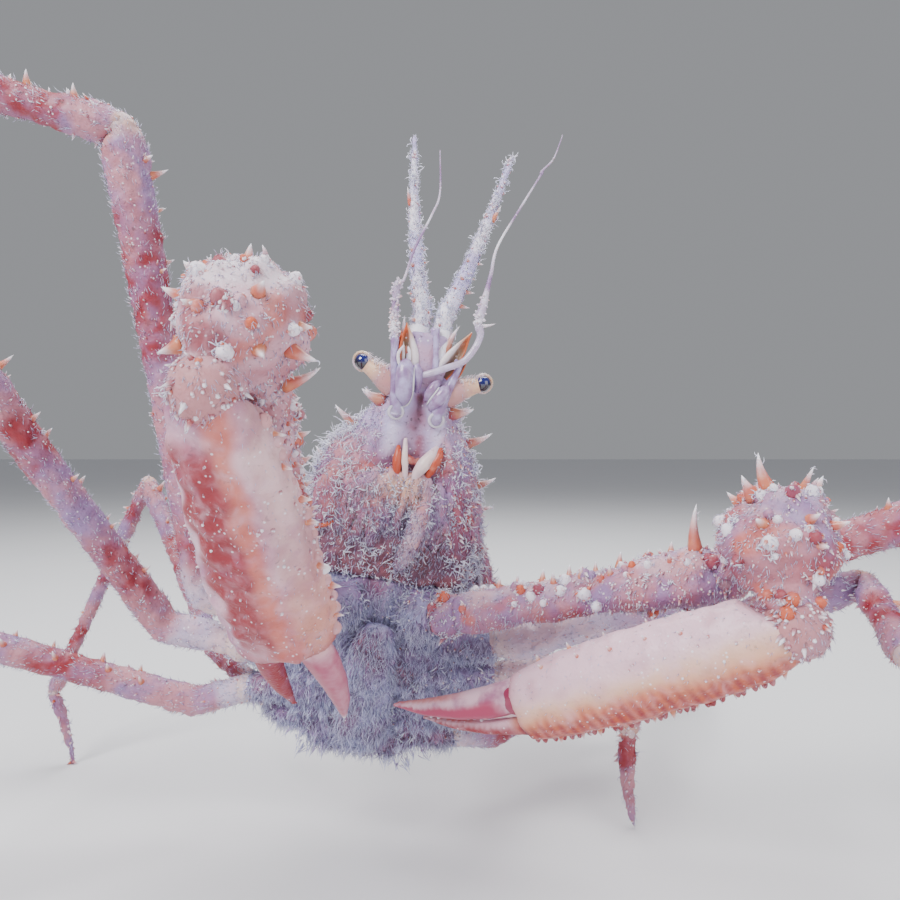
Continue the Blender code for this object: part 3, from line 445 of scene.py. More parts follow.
def plant_curved(heap, template, roots, tips, radii, bend, curl, **values):
    """Sets a taper from each root exactly to its tip, along an arc that leans the given way."""
    run = tips - roots
    chord = unit(run)
    side = bend - chord * (chord @ bend)[:, None]
    side = unit(side)
    half = np.asarray(curl, float)[:, None] / 2.0
    ways = chord * np.cos(half) - side * np.sin(half)
    lengths = lengths_of(run) * half[:, 0] / np.sin(half[:, 0])
    plant(heap, template, roots, ways, lengths, radii, side, curl, **values)


def knuckle(heap, place, radius, **values):
    """The rounded, soft-skinned joint between two limb joints."""
    mesh = bmesh.new()
    bmesh.ops.create_icosphere(mesh, subdivisions=3, radius=radius)
    points, triangles, _ = arrays(mesh)
    heap.add(points + place, triangles, **values)


SPINE = taper(8, [(0.0, 1.0), (0.18, 0.86), (0.4, 0.62), (0.62, 0.4), (0.82, 0.22)])
SPINULE = taper(5, [(0.0, 1.0), (0.3, 0.7), (0.7, 0.34)])
KNOB = taper(8, [(0.0, 1.0), (0.3, 0.98), (0.62, 0.8), (0.86, 0.48)])
GRANULE = taper(5, [(0.0, 1.0), (0.6, 0.72)])
BRISTLE = taper(3, [(0.0, 1.0), (0.45, 0.8)])
HAIR = taper(3, [(0.0, 1.0), (0.3, 0.9), (0.62, 0.65)])
CURL = taper(3, [(0.0, 1.0), (0.25, 0.95), (0.5, 0.85), (0.75, 0.65)])


def scatter(skin, count, seed, keep=None):
    """Places spread evenly over a skin: roots, outward ways and the nearest corner's index."""
    points, triangles, _ = skin
    corners = points[triangles]
    cross = np.cross(corners[:, 1] - corners[:, 0], corners[:, 2] - corners[:, 0])
    area = lengths_of(cross)
    if keep is not None:
        area = area * keep(corners.mean(axis=1), unit(cross))
    draw = np.random.RandomState(seed)
    picks = draw.choice(len(triangles), count, p=area / area.sum())
    a, b = draw.rand(2, count)
    flip = a + b > 1.0
    a, b = np.where(flip, 1.0 - a, a), np.where(flip, 1.0 - b, b)
    chosen = corners[picks]
    roots = chosen[:, 0] + (chosen[:, 1] - chosen[:, 0]) * a[:, None]
    roots = roots + (chosen[:, 2] - chosen[:, 0]) * b[:, None]
    return roots, unit(cross[picks]), triangles[picks, 0]


def box_unwrap(skin, roots, ways):
    """The place of each root on six tiles, one for each side that the skin can face."""
    low = skin[0].min(0)
    size = np.maximum(skin[0].max(0) - low, 1e-6)
    share = (roots - low) / size * 0.94 + 0.03
    axis = np.argmax(np.abs(ways), axis=1)
    rows = np.arange(len(roots))
    u = share[rows, (axis + 1) % 3]
    v = share[rows, (axis + 2) % 3]
    return np.stack([(axis + u) / 3.0, ((ways[rows, axis] > 0) + v) / 2.0], axis=1)


# Materials

class Web:
    """A material's nodes, built from its shader backwards."""

    def __init__(self, name, roughness, **sockets):
        self.material = bpy.data.materials.new(name)
        self.material.use_nodes = True
        self.tree = self.material.node_tree
        self.shader = self.tree.nodes["Principled BSDF"]
        self.place = self.node("ShaderNodeTexCoord").outputs["Object"]
        self.tint = None
        self.shader.inputs["Roughness"].default_value = roughness
        for socket, value in sockets.items():
            self.shader.inputs[socket.replace("_", " ")].default_value = value

    def node(self, kind, **settings):
        made = self.tree.nodes.new(kind)
        for key, value in settings.items():
            setattr(made, key, value)
        return made

    def feed(self, socket, value):
        if isinstance(value, bpy.types.NodeSocket):
            self.tree.links.new(value, socket)
        else:
            socket.default_value = value

    def noise(self, size, detail=4.0, distortion=0.0):
        """Noise whose patches are about the given size in millimetres."""
        made = self.node("ShaderNodeTexNoise")
        self.feed(made.inputs["Vector"], self.place)
        made.inputs["Scale"].default_value = 1.0 / (size * MM)
        made.inputs["Detail"].default_value = detail
        made.inputs["Distortion"].default_value = distortion
        return made.outputs["Fac"]

    def cells(self, size):
        """The distance from the middle of scattered grains of about the given size."""
        made = self.node("ShaderNodeTexVoronoi")
        self.feed(made.inputs["Vector"], self.place)
        made.inputs["Scale"].default_value = 1.0 / (size * MM)
        return made.outputs["Distance"]

    def ramp(self, value, low, high):
        made = self.node("ShaderNodeMapRange", interpolation_type="SMOOTHSTEP")
        self.feed(made.inputs["Value"], value)
        made.inputs["From Min"].default_value = low
        made.inputs["From Max"].default_value = high
        return made.outputs["Result"]

    def plus(self, first, second, kind="ADD"):
        made = self.node("ShaderNodeMath", operation=kind)
        self.feed(made.inputs[0], first)
        self.feed(made.inputs[1], second)
        return made.outputs[0]

    def times(self, first, second):
        return self.plus(first, second, "MULTIPLY")

    def mix(self, first, second, share):
        made = self.node("ShaderNodeMix", data_type="RGBA")
        self.feed(made.inputs["Factor"], share)
        self.feed(made.inputs["A"], first)
        self.feed(made.inputs["B"], second)
        return made.outputs["Result"]

    def mark(self, name):
        return self.node("ShaderNodeAttribute", attribute_name=name).outputs["Fac"]

    def paint(self, name, share, first=None):
        """Lays a named colour over the tint so far, or over a first colour."""
        if first:
            self.tint = colour(first)
        self.tint = self.mix(self.tint, colour(name), share)

    def finish(self, height, strength, distance):
        """Gives the shader its tint and its relief, and returns the material."""
        self.feed(self.shader.inputs["Base Color"], self.tint)
        made = self.node("ShaderNodeBump")
        made.inputs["Strength"].default_value = strength
        made.inputs["Distance"].default_value = distance * MM
        self.feed(made.inputs["Height"], height)
        self.feed(self.shader.inputs["Normal"], made.outputs["Normal"])
        return self.material


def colour(name):
    return (*getattr(bpy.context.scene.crab_colours, name), 1.0)


def shell_material(name, base, second, roughness=(0.42, 0.66), grain=0.45, end=None, dirty=0.55):
    """Mottled shell whose rose, orange, cream and wine marks follow the piece's own values."""
    web = Web(name, 0.5, Subsurface_Weight=0.12, Subsurface_Scale=0.001,
              Subsurface_Radius=(1.0, 0.5, 0.45), Specular_IOR_Level=0.45, Coat_Weight=0.08,
              Coat_Roughness=0.3)
    web.paint(second, web.ramp(web.noise(7.0, 5.0, 0.3), 0.36, 0.64), base)
    mottle = web.noise(2.2, 6.0, 0.6)
    if end:
        web.paint(end, web.mark("tip"))
    for mark in ("pale", "orange", "cream", "rose", "wine"):
        worn = web.times(web.mark(mark), web.ramp(mottle, 0.2, 0.6))
        web.paint(mark, web.times(web.plus(worn, web.mark(mark)), 0.5))
    web.paint("white", web.mark("pearl"))
    fleck = web.times(web.ramp(web.cells(0.85), 0.26, 0.12), web.ramp(web.noise(1.6, 3.0), 0.5, 0.6))
    web.paint("white", web.times(fleck, 0.75))
    web.paint("silt", web.times(web.ramp(web.noise(0.9, 6.0, 0.4), 0.62, 0.74), dirty))
    gloss = web.node("ShaderNodeMapRange")
    web.feed(gloss.inputs["Value"], web.noise(1.2, 4.0))
    gloss.inputs["To Min"].default_value, gloss.inputs["To Max"].default_value = roughness
    web.feed(web.shader.inputs["Roughness"], gloss.outputs["Result"])
    pits = web.times(web.ramp(web.cells(0.7), 0.5, 0.1), 0.8)
    return web.finish(web.plus(web.noise(0.5, 6.0), pits), grain, 0.18)


def spine_material(name, base, end):
    """Spines that pass from a coloured foot to a pale, glassy point."""
    web = Web(name, 0.36, Subsurface_Weight=0.2, Subsurface_Scale=0.001,
              Subsurface_Radius=(1.0, 0.6, 0.5), Coat_Weight=0.15, Coat_Roughness=0.25)
    web.paint("blush", web.ramp(web.noise(2.6, 3.0), 0.4, 0.62), base)
    web.paint("orange", web.mark("orange"))
    web.paint("rose", web.times(web.mark("rose"), 0.8))
    share = web.plus(web.mark("tip"), web.times(web.noise(0.8, 4.0), 0.3))
    web.paint(end, web.ramp(share, 0.45, 1.1))
    web.paint("white", web.mark("pearl"))
    return web.finish(web.noise(0.4, 5.0), 0.3, 0.1)


def bristle_material(name, base="bristle", second="lilac", end="bristle"):
    """Bristles with the skin's own marks at the root, clearing to a pale tip."""
    web = Web(name, 0.45, Subsurface_Weight=0.3, Subsurface_Scale=0.0006,
              Subsurface_Radius=(1.0, 0.8, 0.9))
    web.paint(second, web.ramp(web.noise(4.0, 4.0), 0.4, 0.65), base)
    for mark in ("rose", "orange", "wine"):
        web.paint(mark, web.times(web.mark(mark), 0.45))
    web.paint(end, web.ramp(web.mark("tip"), 0.1, 0.8))
    web.paint("silt", web.times(web.ramp(web.noise(1.1, 5.0, 0.3), 0.6, 0.7), 0.45))
    return web.finish(web.noise(0.3, 3.0), 0.15, 0.05)


def glass_material(name, base, clear):
    """Smooth, slightly see-through shell of the feelers' joints."""
    web = Web(name, 0.22, Subsurface_Weight=0.45, Subsurface_Scale=0.0015,
              Subsurface_Radius=(1.0, 0.75, 0.9), Coat_Weight=0.5, Coat_Roughness=0.12,
              Transmission_Weight=clear * 0.3, IOR=1.4)
    web.paint("pale", web.ramp(web.noise(1.8, 3.0), 0.3, 0.75), base)
    for mark in ("cream", "orange", "rose", "wine"):
        web.paint(mark, web.mark(mark))
    web.paint("white", web.mark("pearl"))
    return web.finish(web.noise(0.7, 4.0), 0.12, 0.08)


def eye_material():
    """Deep blue, glossy eye, with painted light that makes it lighter on its upper and outer side."""
    web = Web("eye", 0.08, Coat_Weight=1.0, Coat_Roughness=0.03, Specular_IOR_Level=0.7)
    # Painted light: indigo over the dark pupil colour where the ball faces up and outwards
    share = web.plus(web.mark("tip"), web.times(web.noise(0.7, 3.0), 0.2))
    web.paint("indigo", web.ramp(share, 0.35, 1.1), "pupil")
    return web.finish(web.cells(0.09), 0.08, 0.02)


def finger_material():
    """Smooth fingers, pink above and magenta below, with pearly tips and teeth."""
    web = Web("claw_finger", 0.3, Subsurface_Weight=0.15, Subsurface_Scale=0.001,
              Subsurface_Radius=(1.0, 0.4, 0.4), Coat_Weight=0.3, Coat_Roughness=0.2)
    web.paint("mauve", web.ramp(web.noise(3.0, 4.0), 0.42, 0.7), "petal")
    web.paint("orange", web.times(web.mark("orange"), 0.7))
    share = web.plus(web.mark("rose"), web.times(web.noise(1.4, 4.0), 0.25))
    web.paint("magenta", web.ramp(share, 0.2, 1.0))
    web.paint("wine", web.mark("wine"))
    pale = web.plus(web.mark("pearl"), web.times(web.noise(1.2, 3.0), 0.3))
    web.paint("white", web.ramp(pale, 0.25, 1.1))
    return web.finish(web.noise(0.5, 4.0), 0.15, 0.1)


def dress(item, material, slot, *nodes):
    """Gives a finished piece its material and body, and hides the nodes that it stands for; the slot is
    not used.
    """
    item.data.materials.append(material)
    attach(item, "root")
    if nodes:
        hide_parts(*nodes)


# What later pieces need of the skins: points, triangles and values, and the spines found on them
SKINS = {}
SPINES = {}
LIES = {}


def grow(node, voxel, kind, locks=False):
    """The rounded skin of one node, with its spines noted."""
    mesh, spines = bare_copy(node, locks)
    SPINES[node] = spines
    return smooth_skin(mesh, voxel, kind)


def settings():
    return bpy.context.scene.crab_sizes


class CrabSizes(bpy.types.PropertyGroup):
    """Sizes that a user would change."""
    skin: bpy.props.FloatProperty(
        name="Skin grain", description="How fine the skins are drawn, in millimetres",
        default=0.42, min=0.2, max=1.0)
    roughness: bpy.props.FloatProperty(
        name="Shell unevenness", description="How deep the shell's dimples are, in millimetres",
        default=0.16, min=0.0, max=0.5)
    bristle: bpy.props.FloatProperty(
        name="Bristle length", description="Length of the short bristles, in millimetres",
        default=STANDARD_BRISTLE, min=0.3, max=3.0)
    density: bpy.props.FloatProperty(
        name="Bristle density", description="Share of the bristles that are drawn",
        default=1.0, min=0.05, max=1.2, subtype="FACTOR")


def shade(name, default, text):
    return bpy.props.FloatVectorProperty(name=name, description=text, default=default, size=3,
                                         min=0.0, max=1.0, subtype="COLOR")


class CrabColours(bpy.types.PropertyGroup):
    """Colours that a user would change."""
    lilac: shade("Lilac", (0.31, 0.19, 0.38), "The shell's cool ground colour")
    blush: shade("Blush", (0.50, 0.21, 0.26), "The shell's warm ground colour")
    rose: shade("Rose", (0.29, 0.018, 0.03), "Dark red bands and patches")
    orange: shade("Orange", (0.62, 0.11, 0.03), "Spine feet and joint edges")
    pale: shade("Pale lilac", (0.56, 0.50, 0.80), "The smooth face between the feelers and mouth")
    cream: shade("Cream", (0.78, 0.50, 0.33), "Pale ground of the claws and mouth")
    petal: shade("Petal", (0.76, 0.50, 0.60), "The upper side of the claws")
    # Wine is the groove's own dark red, and also painted shade on the lower shell, the lower mouthparts
    # and the brow spines' hollows
    mauve: shade("Mauve", (0.42, 0.17, 0.29), "The shaded side of the claws")
    wine: shade("Wine", (0.11, 0.035, 0.06), "The groove below the feelers")
    # White is also painted highlight on the feelerlets' rims and on the glands' rings
    white: shade("White", (0.87, 0.83, 0.92), "Spine tips, flecks and joint lines")
    silt: shade("Silt", (0.045, 0.03, 0.04), "Fine dirt held by the shell")
    bristle: shade("Bristle", (0.54, 0.54, 0.78), "Bristle tips")
    frost: shade("Frost", (0.78, 0.80, 0.96), "The curled bristles' tips")
    belly: shade("Belly bristle", (0.40, 0.41, 0.66), "The long bristles below the body")
    magenta: shade("Magenta", (0.40, 0.03, 0.10), "The fingers of the claws")
    # Indigo is painted light on the eyes' upper, outer side, over the dark pupil colour
    indigo: shade("Indigo", (0.006, 0.01, 0.13), "The eyes")
    pupil: shade("Pupil", (0.002, 0.001, 0.006), "The eyes' dark depth")
    # Olive is the mouth hairs' own colour, and painted shade on the brow spines' hollows
    olive: shade("Olive", (0.17, 0.10, 0.05), "Hairs round the mouth and the hollow of the brow spines")


class CrabOperator:
    """What every step shares."""
    bl_options = {"REGISTER"}


# The groove below the feelers: distance down the body, its middle and its half width
GROOVE = [(8.0, 0.2, 0.8), (11.0, 0.3, 1.3), (14.5, 0.5, 2.0), (18.0, 0.8, 2.8), (22.0, 1.0, 3.6)]
GROOVE_DEPTH = 0.9
# Where the groove, its dark seam and the smooth face start and end down the body
GROOVE_SPAN = (7.5, 9.0), (20.5, 23.0)
SEAM_END = (11.0, 17.0)
FACE_SPAN = (6.0, 9.0), (18.0, 22.0)
FACE_SIDES = (4.6, 6.6)
# Where the shell's roughness and its red and orange patches set in down the body
DIMPLES_FROM = (9.0, 16.0)
PATCHES_FROM = (13.0, 24.0)
# The right shoulder's middle and half length down the body, and how far it swells
SHOULDER = (25.0, 7.0)
SHOULDER_SWELL = 1.8
# How far round the feelers' fixed joints the shell sinks, and how deep
RECESS_REACH = 2.6
RECESS_DEPTH = 1.7


class CRAB_OT_shell(CrabOperator, bpy.types.Operator):
    """Grow the shell's skin over its solid"""
    bl_idname = "crab.shell"
    bl_label = "Shell"

    def execute(self, context):
        points, triangles, normals = grow("carapace", settings().skin, "shell")
        x, _, back = in_body(points).T
        facing = -normals @ BACKWARD
        front = step(0.3, 0.7, facing)
        stations = np.array(GROOVE)
        middle = np.interp(back, stations[:, 0], stations[:, 1])
        width = np.interp(back, stations[:, 0], stations[:, 2])
        inside = band(*GROOVE_SPAN, back) * step(-0.2, 0.1, facing)
        groove = peak(x - middle, width) * inside
        seam = peak(x - middle, width * 0.3) * inside * fall(*SEAM_END, back)
        face = band(*FACE_SPAN, back) * step(-0.2, 0.2, facing) * fall(*FACE_SIDES, np.abs(x))
        depth = patches(points, 2.6, 1) * settings().roughness * 2.4 + patches(points, 1.1, 11) * 0.2
        shoulder = peak(back - SHOULDER[0], SHOULDER[1]) * step(-8.0, -13.0, x) * SHOULDER_SWELL
        recess = np.zeros(len(points))
        for side in SIDES:
            run = on_body([row[:3] for row in BASAL_JOINTS[side][2:]])
            for near, far in zip(run, run[1:]):
                gap = np.minimum(lengths_of(points - near), lengths_of(points - (near + far) / 2.0))
                recess = np.maximum(recess, np.clip(1.0 - gap / RECESS_REACH, 0.0, 1.0))
        depth = depth * step(*DIMPLES_FROM, back) * (1.0 - face) + shoulder - recess * RECESS_DEPTH
        points = points + normals * (depth - groove * GROOVE_DEPTH)[:, None]
        rough = step(*PATCHES_FROM, back)
        rose = step(0.1, 0.9, patches(points, 11.0, 2)) * 0.6 * rough
        orange = step(0.2, 0.9, patches(points, 5.0, 3)) * 0.55 * rough
        # Painted shade: the front-facing shell far down the body, below the mouth, is darkened with
        # wine
        dusk = front * step(30.0, 38.0, back)
        blotch = 0.55 + 0.45 * step(-0.5, 0.6, patches(points, 1.6, 14))
        heap = Heap()
        head = fall(14.0, 22.0, back) * (1.0 - groove)
        heap.add(points, triangles, rose=np.maximum(rose, groove * 0.85 * blotch),
                 orange=orange * (1.0 - face), pale=np.maximum(face, head * 0.45),
                 wine=np.clip(np.maximum(seam * 0.7 + groove * 0.3, dusk * 0.8), 0.0, 1.0),
                 pearl=face * peak(np.abs(x - 0.6) - 4.2, 1.1) * 0.25)
        SKINS["shell"] = heap.gather()
        dress(heap.piece("shell"), shell_material("shell", "lilac", "blush", dirty=0.7), "shell",
              "carapace")
        return {"FINISHED"}


class CRAB_OT_belly(CrabOperator, bpy.types.Operator):
    """Grow the breastplate's and the folded tail's skins"""
    bl_idname = "crab.belly"
    bl_label = "Breastplate and tail"

    def execute(self, context):
        voxel = settings().skin * BELLY_GRAIN
        for node, name in (("thorax", "breastplate"), ("abdomen", "tail")):
            points, triangles, normals = grow(node, voxel, "belly", locks=True)
            points = points + normals * (patches(points, 1.8, 4) * settings().roughness)[:, None]
            heap = Heap()
            heap.add(points, triangles, rose=step(0.3, 0.9, patches(points, 7.0, 5)) * 0.6,
                     wine=step(0.2, 0.8, patches(points, 4.0, 15)) * 0.5)
            SKINS[name] = heap.gather()
            dress(heap.piece(name), shell_material(name, "belly", "lilac"), "underside", node)
        return {"FINISHED"}


# Where each walking leg is dark red, as shares of the joint's length
MERUS_BANDS = {
    "p2_right": [(0.1, 0.24), (0.55, 0.81)], "p3_right": [(0.26, 0.42), (0.66, 0.84)],
    "p4_right": [(0.44, 0.7)], "p5_right": [(0.1, 0.3), (0.55, 0.75)],
    "p2_left": [(0.66, 0.9)], "p3_left": [(0.12, 0.3), (0.6, 0.82)],
    "p4_left": [(0.1, 0.3), (0.55, 0.8)], "p5_left": [(0.2, 0.4), (0.6, 0.85)],
}
LEG_BANDS = {
    "carpus": [(0.3, 0.7)],
    "propodus": [(0.08, 0.3), (0.52, 0.76)],
    "dactyl": [(0.0, 0.35)],
}
# How far the legs near the body are frosted with a pale bloom
LEG_FROST = {"p2_left": 0.4, "p3_left": 0.25}
OTHER_LEG_FROST = 0.16
# How red the last pair's toes are, against the other pairs'
LAST_TOE_RED = 0.3
# How wide the soft joints are against the limb, at the body and further out
LEG_JOINT_SIZE = (0.86, 0.93)
TOE_CORNERS = 6


class CRAB_OT_legs(CrabOperator, bpy.types.Operator):
    """Grow the walking legs' skins, joint by joint"""
    bl_idname = "crab.legs"
    bl_label = "Walking legs"

    def execute(self, context):
        material = shell_material("leg", "lilac", "blush")
        for side in SIDES:
            for pair in PAIRS:
                self.leg(side, pair, material)
        return {"FINISHED"}

    def leg(self, side, pair, material):
        label = "leg_" + pair + "_" + side
        nodes = [label + "_" + joint for joint in JOINTS]
        places = [meeting("thorax", nodes[0])]
        places += [meeting(near, far) for near, far in zip(nodes, nodes[1:])]
        tip = standing(np.array([vert.co for vert in frame["nodes"][nodes[-1]].data.vertices]))
        places.append(tip[np.argsort(lengths_of(tip - places[-1]))[-TOE_CORNERS:]].mean(axis=0))
        heap = Heap()
        lies = []
        for node, joint, start, end in zip(nodes, JOINTS, places, places[1:]):
            points, triangles, normals = grow(node, settings().skin * LEG_GRAIN, "leg")
            run = end - start
            way = run / np.linalg.norm(run)
            share = (points - start) @ run / (run @ run)
            wobble = share + patches(points, 5.0, 6) * 0.05
            rose = np.zeros(len(points))
            bands = MERUS_BANDS[pair + "_" + side] if joint == "merus" else LEG_BANDS[joint]
            for near, far in bands:
                rise, end = ((place - 0.05, place + 0.05) for place in (near, far))
                rose = np.maximum(rose, band(rise, end, wobble))
            rose = rose * (0.45 + 0.55 * step(-0.4, 0.5, patches(points, 2.4, 7)))
            dusk = step(0.35, 0.9, patches(points, 4.5, 17)) * 0.4
            cream = fall(0.0, 0.05, share) + step(0.96, 1.0, share)
            bare = points
            points = points + normals * (patches(points, 1.6, 8) * settings().roughness * 1.5)[:, None]
            pearl = np.zeros(len(points))
            if joint == "merus":
                frost = LEG_FROST.get(pair + "_" + side, OTHER_LEG_FROST)
                pearl = 0.36 * fall(frost * 0.5, frost, wobble)
            if joint == "dactyl" and pair == "p5":
                rose = rose * LAST_TOE_RED
            heap.add(points, triangles, rose=np.maximum(rose, dusk), pearl=pearl,
                     cream=np.clip(cream, 0.0, 1.0) * 0.6)
            radius = girth(bare, start, way) * LEG_JOINT_SIZE[joint != "merus"]
            knuckle(heap, start, radius, cream=0.6, pearl=0.3, rose=0.15)
            lies.append(np.broadcast_to(way, (heap.count - sum(len(rows) for rows in lies), 3)))
        SKINS[label] = heap.gather()
        LIES[label] = np.concatenate(lies)
        dress(heap.piece(label), material, "leg", *nodes)


# How far the movable finger's root stands off the palm's middle line
FINGER_OFFSET = {"left": 1.9, "right": 2.9}
CLAW_UP = {"left": (0.0, 0.0, 1.0), "right": (1.0, 0.0, 0.0)}


def palm_frame(side):
    """The wrist, the knuckle, and the ways along and across a palm."""
    label = "claw_" + side
    wrist = meeting(label + "_carpus", label + "_palm")
    finger = meeting(label + "_palm", label + "_finger")
    up = np.array(CLAW_UP[side])
    middle = finger - up * FINGER_OFFSET[side]
    for _ in range(3):
        along = unit([middle - wrist])[0]
        across = unit([up - along * (up @ along)])[0]
        middle = finger - across * FINGER_OFFSET[side]
    return wrist, middle, along, across


# Blunt knobs on each arm joint: how many, and how uneven the joint is
ARM_KNOBS = {"base": (6, 0.2), "merus": (46, 0.35), "carpus": (58, 1.1)}
# Shares of the knobs up to which they are white, plain and red; the rest are orange
KNOB_LOOKS = (0.55, 0.62, 0.78)
# How strongly an arm joint's upper side is frosted, and the right wrist's
ARM_FROST = 0.25
WRIST_FROST = 0.75
# The left palm's lower edge and the fixed finger: teeth and where they start and end along the palm
EDGE_TEETH = 27
EDGE_SPAN = (0.1, 0.99)
FINGER_TEETH = 9
FINGER_TEETH_SPAN = (1.14, 1.4)
# The right palm's beads, the one that is white, and where they start and end
BEADS = 13
WHITE_BEAD = 8
BEAD_SPAN = (0.08, 0.95)
# The wrist's soft joint, half a palm's height, and the slices of its length that are compared
WRIST_RADIUS = 4.3
PALM_HALF = 7.0
LEVEL_SLICES = 40.0


class CRAB_OT_claws(CrabOperator, bpy.types.Operator):
    """Grow the claw legs' skins and fingers"""
    bl_idname = "crab.claws"
    bl_label = "Claws"

    def execute(self, context):
        arms = {"left": shell_material("claw_arm_left", "blush", "lilac"),
                "right": shell_material("claw_arm_right", "blush", "petal")}
        palms = {"left": shell_material("claw_palm_left", "petal", "petal", roughness=(0.32, 0.5),
                                        grain=0.3, dirty=0.25),
                 "right": shell_material("claw_palm_right", "mauve", "petal", roughness=(0.36, 0.55),
                                         grain=0.35, end="mauve", dirty=0.35)}
        finger = finger_material()
        for side in SIDES:
            for joint in ARM_KNOBS:
                self.arm(side, joint, arms[side])
            self.palm(side, palms[side], finger)
        return {"FINISHED"}

    def arm(self, side, joint, material):
        """One joint of the arm, knobbly above and bare below."""
        node = "claw_" + side + "_" + joint
        count, uneven = ARM_KNOBS[joint]
        points, triangles, normals = grow(node, settings().skin, "arm")
        depth = patches(points, 1.8, 9) * settings().roughness + patches(points, 4.5, 18) * uneven
        bare = points
        points = points + normals * depth[:, None]
        above = step(0.1, 0.9, normals[:, 2])
        below = fall(-0.8, 0.2, normals[:, 2])
        rose = step(0.0, 0.8, patches(points, 6.0, 10)) * 0.7 + below * 0.3
        orange = step(0.2, 0.8, patches(points, 4.0, 12)) * 0.6
        frost = above * (WRIST_FROST if (side, joint) == ("right", "carpus") else ARM_FROST)
        frost = frost * step(-0.6, 0.3, patches(points, 3.0, 19))
        heap = Heap()
        heap.add(points, triangles, rose=np.clip(rose, 0, 1) * (1.0 - frost),
                 orange=orange * (1.0 - frost), pearl=frost)
        skin = heap.gather()
        roots, ways, _ = scatter(skin, count, 70 + len(node),
                                 lambda middles, outward: step(-0.5, 0.5, outward[:, 2]) + 0.15)
        draw = np.random.RandomState(71)
        size = draw.uniform(0.5, 1.15, count)
        kind = draw.rand(count)
        white, plain, red = KNOB_LOOKS
        plant(heap, KNOB, roots - ways * 0.4, ways, size * 1.2 + 0.4, size,
              pearl=(kind < white) * 0.85, orange=(kind > red) * 0.9,
              rose=((kind > plain) & (kind < red)) * 0.8)
        reach = {"merus": "base", "carpus": "merus"}.get(joint)
        if reach:
            place = meeting("claw_" + side + "_" + reach, node)
            way = unit([points.mean(axis=0) - place])[0]
            knuckle(heap, place, girth(bare, place, way) * 0.9, rose=0.5, orange=0.3, pearl=0.2)
        if joint == "carpus":
            wrist, _, along, _ = palm_frame(side)
            knuckle(heap, wrist - along * 0.8, WRIST_RADIUS, rose=0.5, orange=0.4, pearl=0.15)
        SKINS[node] = heap.gather()
        dress(heap.piece("arm_" + joint + "_" + side), material, "claw", node)

    def palm(self, side, material, finger):
        """The palm with its fixed finger, then the movable finger."""
        label = "claw_" + side
        wrist, knuckle_place, along, across = palm_frame(side)
        length = np.linalg.norm(knuckle_place - wrist)
        for joint in ("palm", "finger"):
            node = label + "_" + joint
            points, triangles, normals = grow(node, settings().skin, "palm")
            share = (points - wrist) @ along / length
            height = (points - wrist) @ across / PALM_HALF
            level = self.level(share, height)
            wobble = patches(points, 4.0, 13)
            past = step(1.0, 1.1, share + wobble * 0.02)
            bumps = patches(points, 2.2, 16) * 0.16 * (2.0 if side == "right" else 1.0)
            points = points + normals * ((wobble * 0.12 + bumps) * (1.0 - past))[:, None]
            marks = self.left_marks if side == "left" else self.right_marks
            marks = marks(share, height, level, wobble, past)
            hinge = peak(share - 1.0, 0.016) * (0.7 if side == "left" else 0.5)
            heap = Heap()
            if joint == "palm":
                marks["wine"] = hinge
                glow = peak(share - 1.0, 0.04) * 0.8
                marks["rose"] = np.clip(marks["rose"] + glow, 0, 1)
            heap.add(points, triangles, **marks)
            if joint == "palm":
                self.edge(heap, side, wrist, along, across, length)
            else:
                root = knuckle_place + across * FINGER_OFFSET[side]
                knuckle(heap, root, girth(points, root + along * 1.5, along) * 0.94, rose=0.9, wine=0.3)
            SKINS[node] = heap.gather()
            dress(heap.piece("palm_" + side if joint == "palm" else "movable_finger_" + side),
                  finger if joint == "finger" else material,
                  "finger" if joint == "finger" else "claw", node)

    def level(self, share, height):
        """How high a point lies between the two edges at its own share of the length, from -1 to 1."""
        slots = np.round(share * LEVEL_SLICES).astype(int)
        slots -= slots.min()
        low = np.full(slots.max() + 1, np.inf)
        high = np.full(slots.max() + 1, -np.inf)
        np.minimum.at(low, slots, height)
        np.maximum.at(high, slots, height)
        return (2.0 * height - low[slots] - high[slots]) / np.maximum(high - low, 0.02)[slots]

    def left_marks(self, share, height, level, wobble, past):
        """Pink above, cream in the middle, orange and red stripes along the lower edge."""
        palm = 1.0 - past
        stripes = 0.5 + 0.5 * np.sin(share * 2.0 * math.pi * EDGE_TEETH + wobble)
        rose = fall(-0.62, -0.12, height + wobble * 0.1) * (0.25 + 0.75 * stripes) * palm
        orange = fall(-0.35, 0.15, height + wobble * 0.12) * palm
        cream = peak(height + 0.1 + wobble * 0.1, 0.3) * 0.7 * palm
        blush = step(0.1, 0.9, wobble) * 0.25 * palm
        under = fall(-0.4, 0.7, level + wobble * 0.1)
        rose = np.maximum(np.maximum(rose, blush), under * past)
        orange = np.maximum(orange, step(0.5, 0.85, level) * step(1.15, 1.3, share) * 0.8)
        return dict(rose=rose, orange=orange, cream=cream, tip=past, pearl=step(1.5, 1.72, share))

    def right_marks(self, share, height, level, wobble, past):
        """Mauve, then a deep red band, then orange and greyish pink."""
        palm = 1.0 - past
        place = height + wobble * 0.12
        rose = band((-0.88, -0.68), (-0.08, 0.2), place) * band((0.04, 0.16), (0.86, 1.0), share)
        orange = band((-0.2, 0.1), (0.25, 0.55), place) * 0.75 * palm
        orange = np.maximum(orange, step(0.5, 0.85, share) * step(-0.5, 0.0, place) * 0.6 * palm)
        cream = step(0.35, 0.7, place) * 0.3 * palm
        below = np.maximum(fall(-0.15, 0.15, height), 0.6 + 0.3 * fall(-0.6, 0.4, level))
        rose = np.maximum(rose, past * below)
        return dict(rose=rose, orange=orange, cream=cream, tip=past, pearl=step(1.47, 1.6, share))

